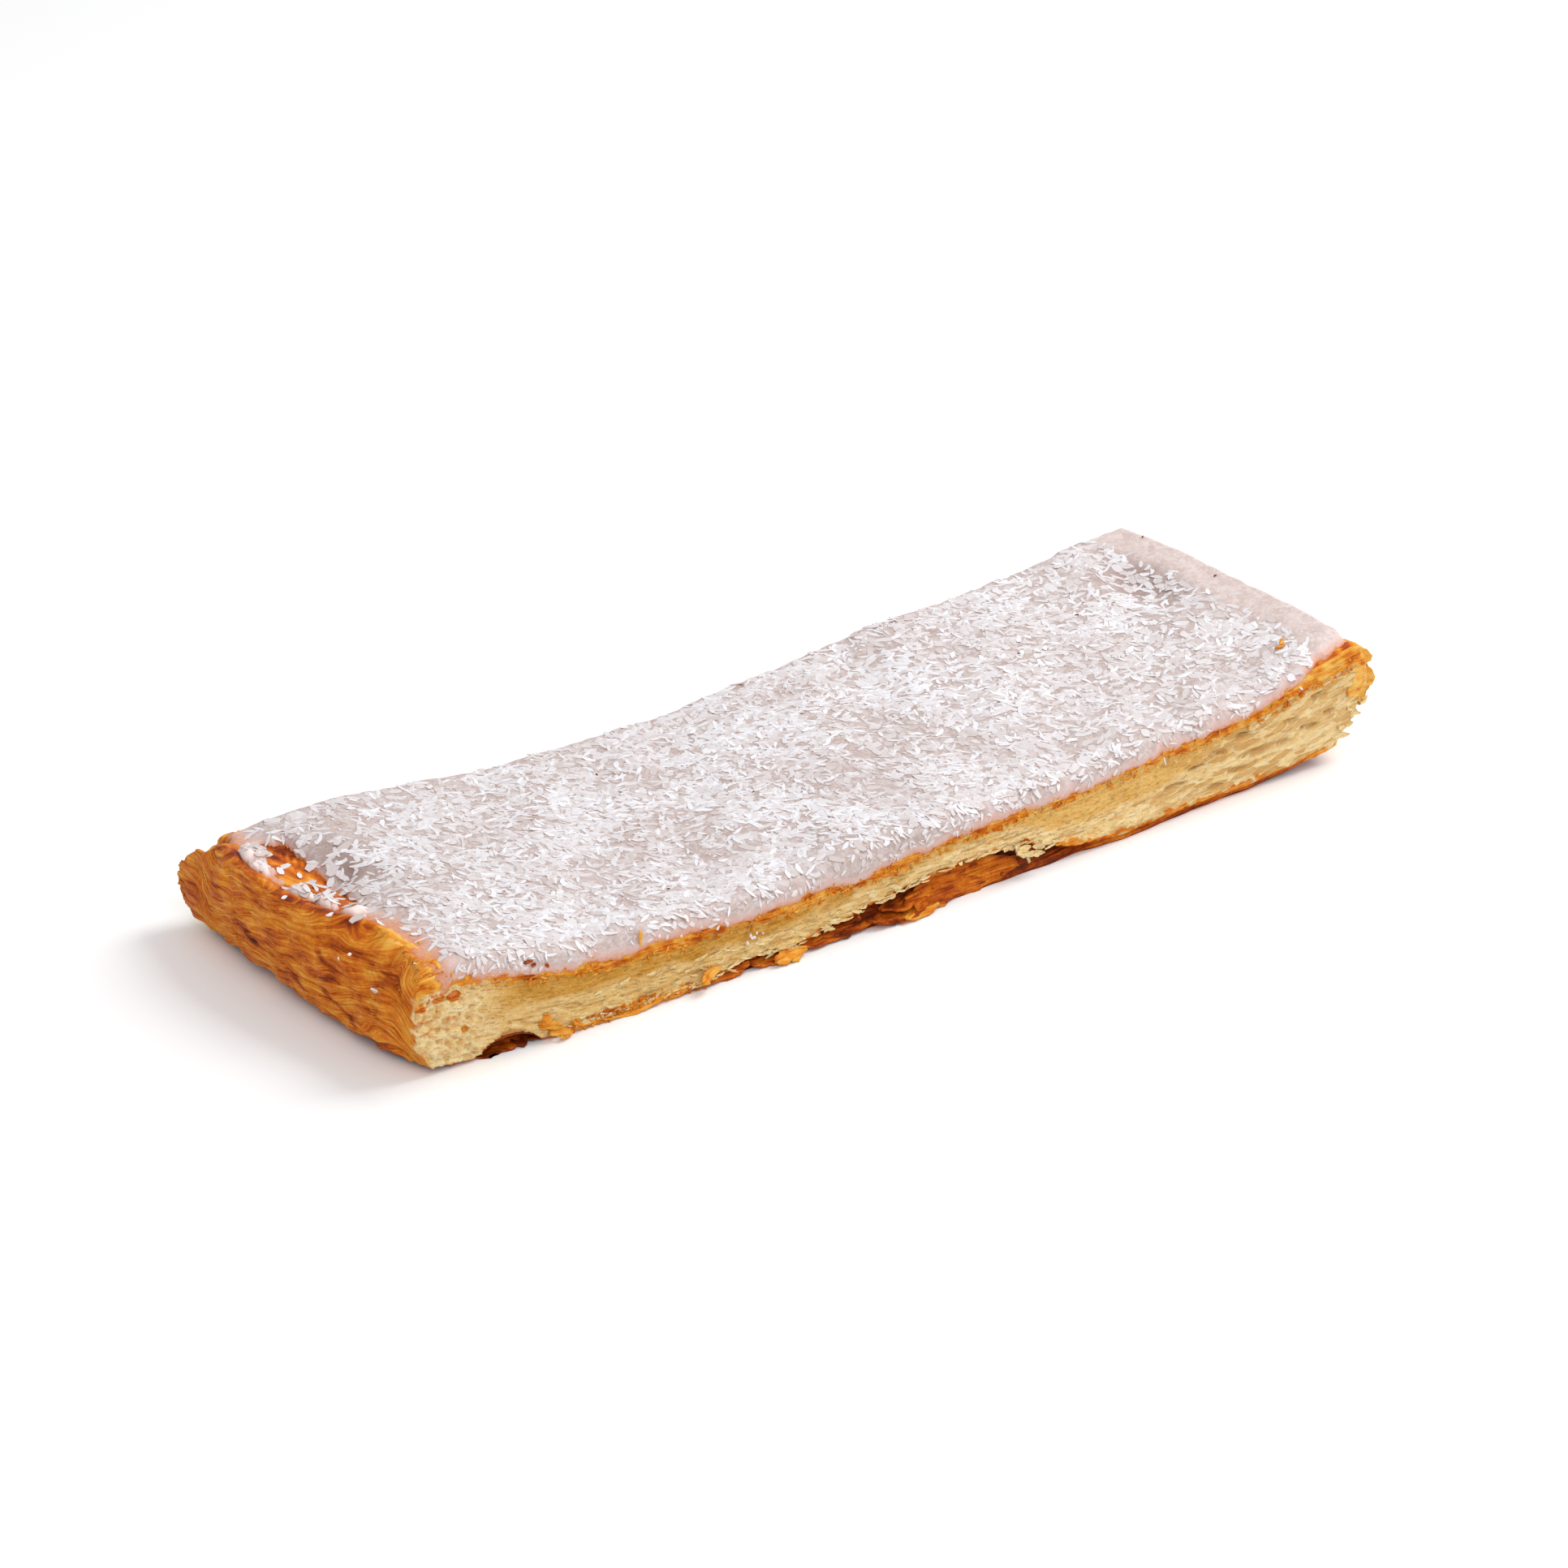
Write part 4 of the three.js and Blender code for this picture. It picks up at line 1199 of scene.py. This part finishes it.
# %% Coconut material
COCONUT_STOPS = [(0.0, tint(200, 188, 185)), (0.4, tint(214, 207, 208)), (1.0, tint(231, 231, 236))]
UNDERSIDE_SHADE_TONE = tint(206, 166, 146)


def make_coconut_material():
    material, tree, shader = new_material("grated_coconut")
    fibre = noise_node(tree, in_millimetres(tree), 1.9, 3, 0.6)
    film = stirred(tree, number(tree, "shade"), fibre, 0.5)
    # Painted shade: faces that point down take a warm darker tone.
    colour = blend(tree, number(tree, "foot"), ramp(tree, film, COCONUT_STOPS), UNDERSIDE_SHADE_TONE)
    tree.links.new(colour, shader.inputs["Base Color"])
    finish = {"Roughness": 0.55, "Specular IOR Level": 0.3}
    set_finish(tree, shader, finish, {"Strength": 0.25, "Distance": 0.0002, "Height": fibre})
    return material


coconut_material = make_coconut_material()


def coconut(name, shapes, places, angles, sizes, shade, slopes=None, lean=None):
    mesh, points = strew(name, shapes, places, angles, sizes, slopes, lean)
    # Faces that point down are marked for the painted shade.
    shaded_underside = step(0.1, -0.5, normals_of(mesh)[:, 2])
    paint(mesh, shade=np.repeat(shade, points), foot=shaded_underside)
    finish_piece(mesh, name, coconut_material, smooth=False)


# %% Strew the coconut
# Kind: squares of its grid, bend, taper, how many, length, width, thickness, tilt in degrees,
# how far it stands out of the icing, how clean its white is
KINDS = {
    "coconut_chips": (
        (3, 2, 1), 0.15, 0.35, 3300, (1.7, 3.3), (0.8, 1.5), (0.14, 0.2), 1, (-0.05, 0.0), 0.3,
    ),
    "coconut_slivers": (
        (3, 2, 1), 0.2, 0.7, 3900, (1.8, 3.4), (0.5, 0.95), (0.15, 0.22), 1.5, (-0.05, 0.02), 0.6,
    ),
    "coconut_curls": (
        (5, 1, 1), 0.4, 0.6, 900, (1.7, 3.0), (0.45, 0.9), (0.15, 0.22), 3, (-0.03, 0.05), 0.85,
    ),
    "coconut_grains": (
        (2, 2, 1), 0.15, 0.3, 3000, (0.5, 1.3), (0.4, 0.8), (0.15, 0.22), 3, (-0.05, 0.03), 0.55,
    ),
}
for kind, (squares, bend, taper, count, long, wide, thick, tilt, stands_out, clean) in KINDS.items():
    spots = draw_places(count)
    sizes = np.column_stack([chance.uniform(*reach, count) for reach in (long, wide, thick)])
    tilts = np.radians(chance.normal(0, tilt, (count, 2)))
    angles = np.column_stack([tilts, chance.uniform(0, 2 * math.pi, count)])
    proud = chance.uniform(*stands_out, count)
    uneven = chance.normal(0, 0.2, count) + 0.25 * rough((15, 12), *spots.T)
    seeds = [2.7 * len(kind) + 5.3 * i for i in range(VARIANTS)]
    shapes = [shred_shape(squares, bend, taper, seed) for seed in seeds]
    lean = lean_at(spots)
    sizes[:, :2] *= mix(1, 0.6, step(0, 1.3, lean))[:, None]
    slopes = slopes_at(spots) * np.column_stack([np.cos(lean), lean < 0.05])
    shade = np.clip(clean + uneven, 0, 1)
    coconut(kind, shapes, on_icing(spots, proud), angles, sizes, shade, slopes, lean)

# %% [markdown]
# ## Stray bits
#
# A few shreds fell on the folded end and stuck to the cut face, and specks of browned crust lie
# in the icing. They are the same shapes as before, set one by one where they lie.

# %% Stray shreds and specks
# Middle, angles in degrees, sizes
STRAYS = [
    ((-104.3, -24.6, 13), (60, 20, 80), (2.6, 0.9, 0.25)),
    ((-103.8, -17, 16.2), (40, 10, 30), (1.1, 0.5, 0.2)),
    ((-104.3, -14.5, 14.6), (70, 0, 60), (0.9, 0.4, 0.2)),
    ((-99.4, -29.4, 18.4), (10, 10, 50), (1.6, 0.8, 0.2)),
    ((-103.7, 2, 18.8), (20, 0, 20), (1.3, 0.6, 0.2)), ((-101.8, -8.5, 19.3), (10, 0, 10), (1.5, 0.7, 0.2)),
    ((-37.3, -35, 5.9), (80, 10, 10), (1.2, 0.6, 0.2)), ((-36.2, -35, 5.4), (70, 40, 50), (1.1, 0.5, 0.2)),
    ((-38.5, -35, 5.3), (85, 70, 20), (1.1, 0.6, 0.2)), ((-35.4, -35, 6.1), (80, 30, 70), (0.9, 0.5, 0.2)),
    ((-37.9, -35, 6.5), (80, 80, 10), (0.8, 0.5, 0.2)), ((-36.6, -35, 6.6), (75, 20, 40), (0.9, 0.4, 0.2)),
]
stray_at, stray_turn, stray_size = (np.array(part, float) for part in zip(*STRAYS))
stray_shapes = [shred_shape((4, 2, 1), 0.3, 0.6, seed=40 + i) for i in range(VARIANTS)]
stray_shade = np.full(len(STRAYS), 0.7)
coconut("stray_shreds", stray_shapes, stray_at, np.radians(stray_turn), stray_size, stray_shade)


def specks(name, spots, half_sizes, bake_here):
    """Bits of browned crust that lie in the icing."""
    middles = on_icing(np.array(spots, float), 0.1)
    bits = [(tuple(middle), half_sizes, 37 * i) for i, middle in enumerate(middles)]
    lumpy_bit(name, bits, bake_here, 0.0, 0.3, 0.5, detail=2, stands_for=None)


BROWN_SPOTS = [
    (-46.5, -24.1), (-14.5, -5.1), (-30.9, 17.5), (52.5, 5.1), (70.4, 10.3), (96.1, 2), (97.3, 23.3),
]
specks("brown_specks", BROWN_SPOTS, (0.42, 0.18, 0.14), 0.8)
specks("dark_bits", [(-81.2, -33.2), (-80.2, -33.5), (-77.8, -33.6)], (1.0, 0.36, 0.24), 0.62)
specks("orange_flake", [(87.2, -25.4), (88.4, -24.4)], (1.5, 0.42, 0.25), 0.3)
YELLOW = [((-59.5, -34.3, 12.4), (0.42, 0.3, 1.6), 10)]
lumpy_bit("yellow_flake", YELLOW, 0.22, 0.1, 0.4, 0.6, detail=3, stands_for=None)

# %% [markdown]
# ## Stage, light and camera
#
# The bar lies on a plain white surface under one large soft light from the right and a bright
# room. The camera stands where the photograph was taken from.

# %% Floor
floor_mesh = bpy.data.meshes.new("floor")
bm = bmesh.new()
bmesh.ops.create_grid(bm, x_segments=1, y_segments=1, size=3)
bm.to_mesh(floor_mesh)
bm.free()
floor_material, _, floor_shader = new_material("white_floor")
floor_shader.inputs["Base Color"].default_value = (0.93, 0.93, 0.935, 1)
floor_shader.inputs["Roughness"].default_value = 0.8
floor_mesh.materials.append(floor_material)
floor = bpy.data.objects.new("floor", floor_mesh)
bpy.context.scene.collection.objects.link(floor)

# %% Camera
AZIMUTH, ELEVATION = math.radians(-37.6), math.radians(25)
DISTANCE = 901
LENS, SENSOR_WIDTH = 120, 36
RIGHT_BY, ABOVE_BY = -2.7, 9.9
MIDDLE = Vector((-1.4, -1.0, 0))
right = Vector((math.cos(AZIMUTH), math.sin(AZIMUTH), 0))
level = math.cos(ELEVATION)
back = Vector((math.sin(AZIMUTH) * level, -math.cos(AZIMUTH) * level, math.sin(ELEVATION)))
above = back.cross(right)
camera_data = bpy.data.cameras.new("camera")
camera_data.lens = LENS
camera_data.sensor_width = SENSOR_WIDTH
camera = bpy.data.objects.new("camera", camera_data)
camera.matrix_world = Matrix((right, above, back)).transposed().to_4x4()
camera.location = (right * RIGHT_BY + above * ABOVE_BY + back * DISTANCE + MIDDLE) * MM
bpy.context.scene.collection.objects.link(camera)
bpy.context.scene.camera = camera

# %% Lights


def soft_light(name, direction, distance, size, power):
    """A square light that faces the bar; distance and size in metres, power in watts."""
    data = bpy.data.lights.new(name, "AREA")
    data.size = size
    data.energy = power
    light = bpy.data.objects.new(name, data)
    light.location = Vector(direction).normalized() * distance
    light.rotation_euler = Vector(direction).to_track_quat("Z", "Y").to_euler()
    bpy.context.scene.collection.objects.link(light)


away = Vector((-back.x, -back.y, 0)).normalized()
soft_light("key_light", right * 0.75 + away * 0.5 + Vector((0, 0, 1.05)), 1.0, 0.55, 6.4)
soft_light("fill_light", right * 0.24 - away * 0.885 + Vector((0, 0, 0.7)), 1.2, 0.9, 4.2)
world = bpy.data.worlds.new("studio")
world.use_nodes = True
world.node_tree.nodes["Background"].inputs["Color"].default_value = (1, 1, 1, 1)
world.node_tree.nodes["Background"].inputs["Strength"].default_value = 0.66
bpy.context.scene.world = world
bpy.context.scene.view_settings.view_transform = "Standard"
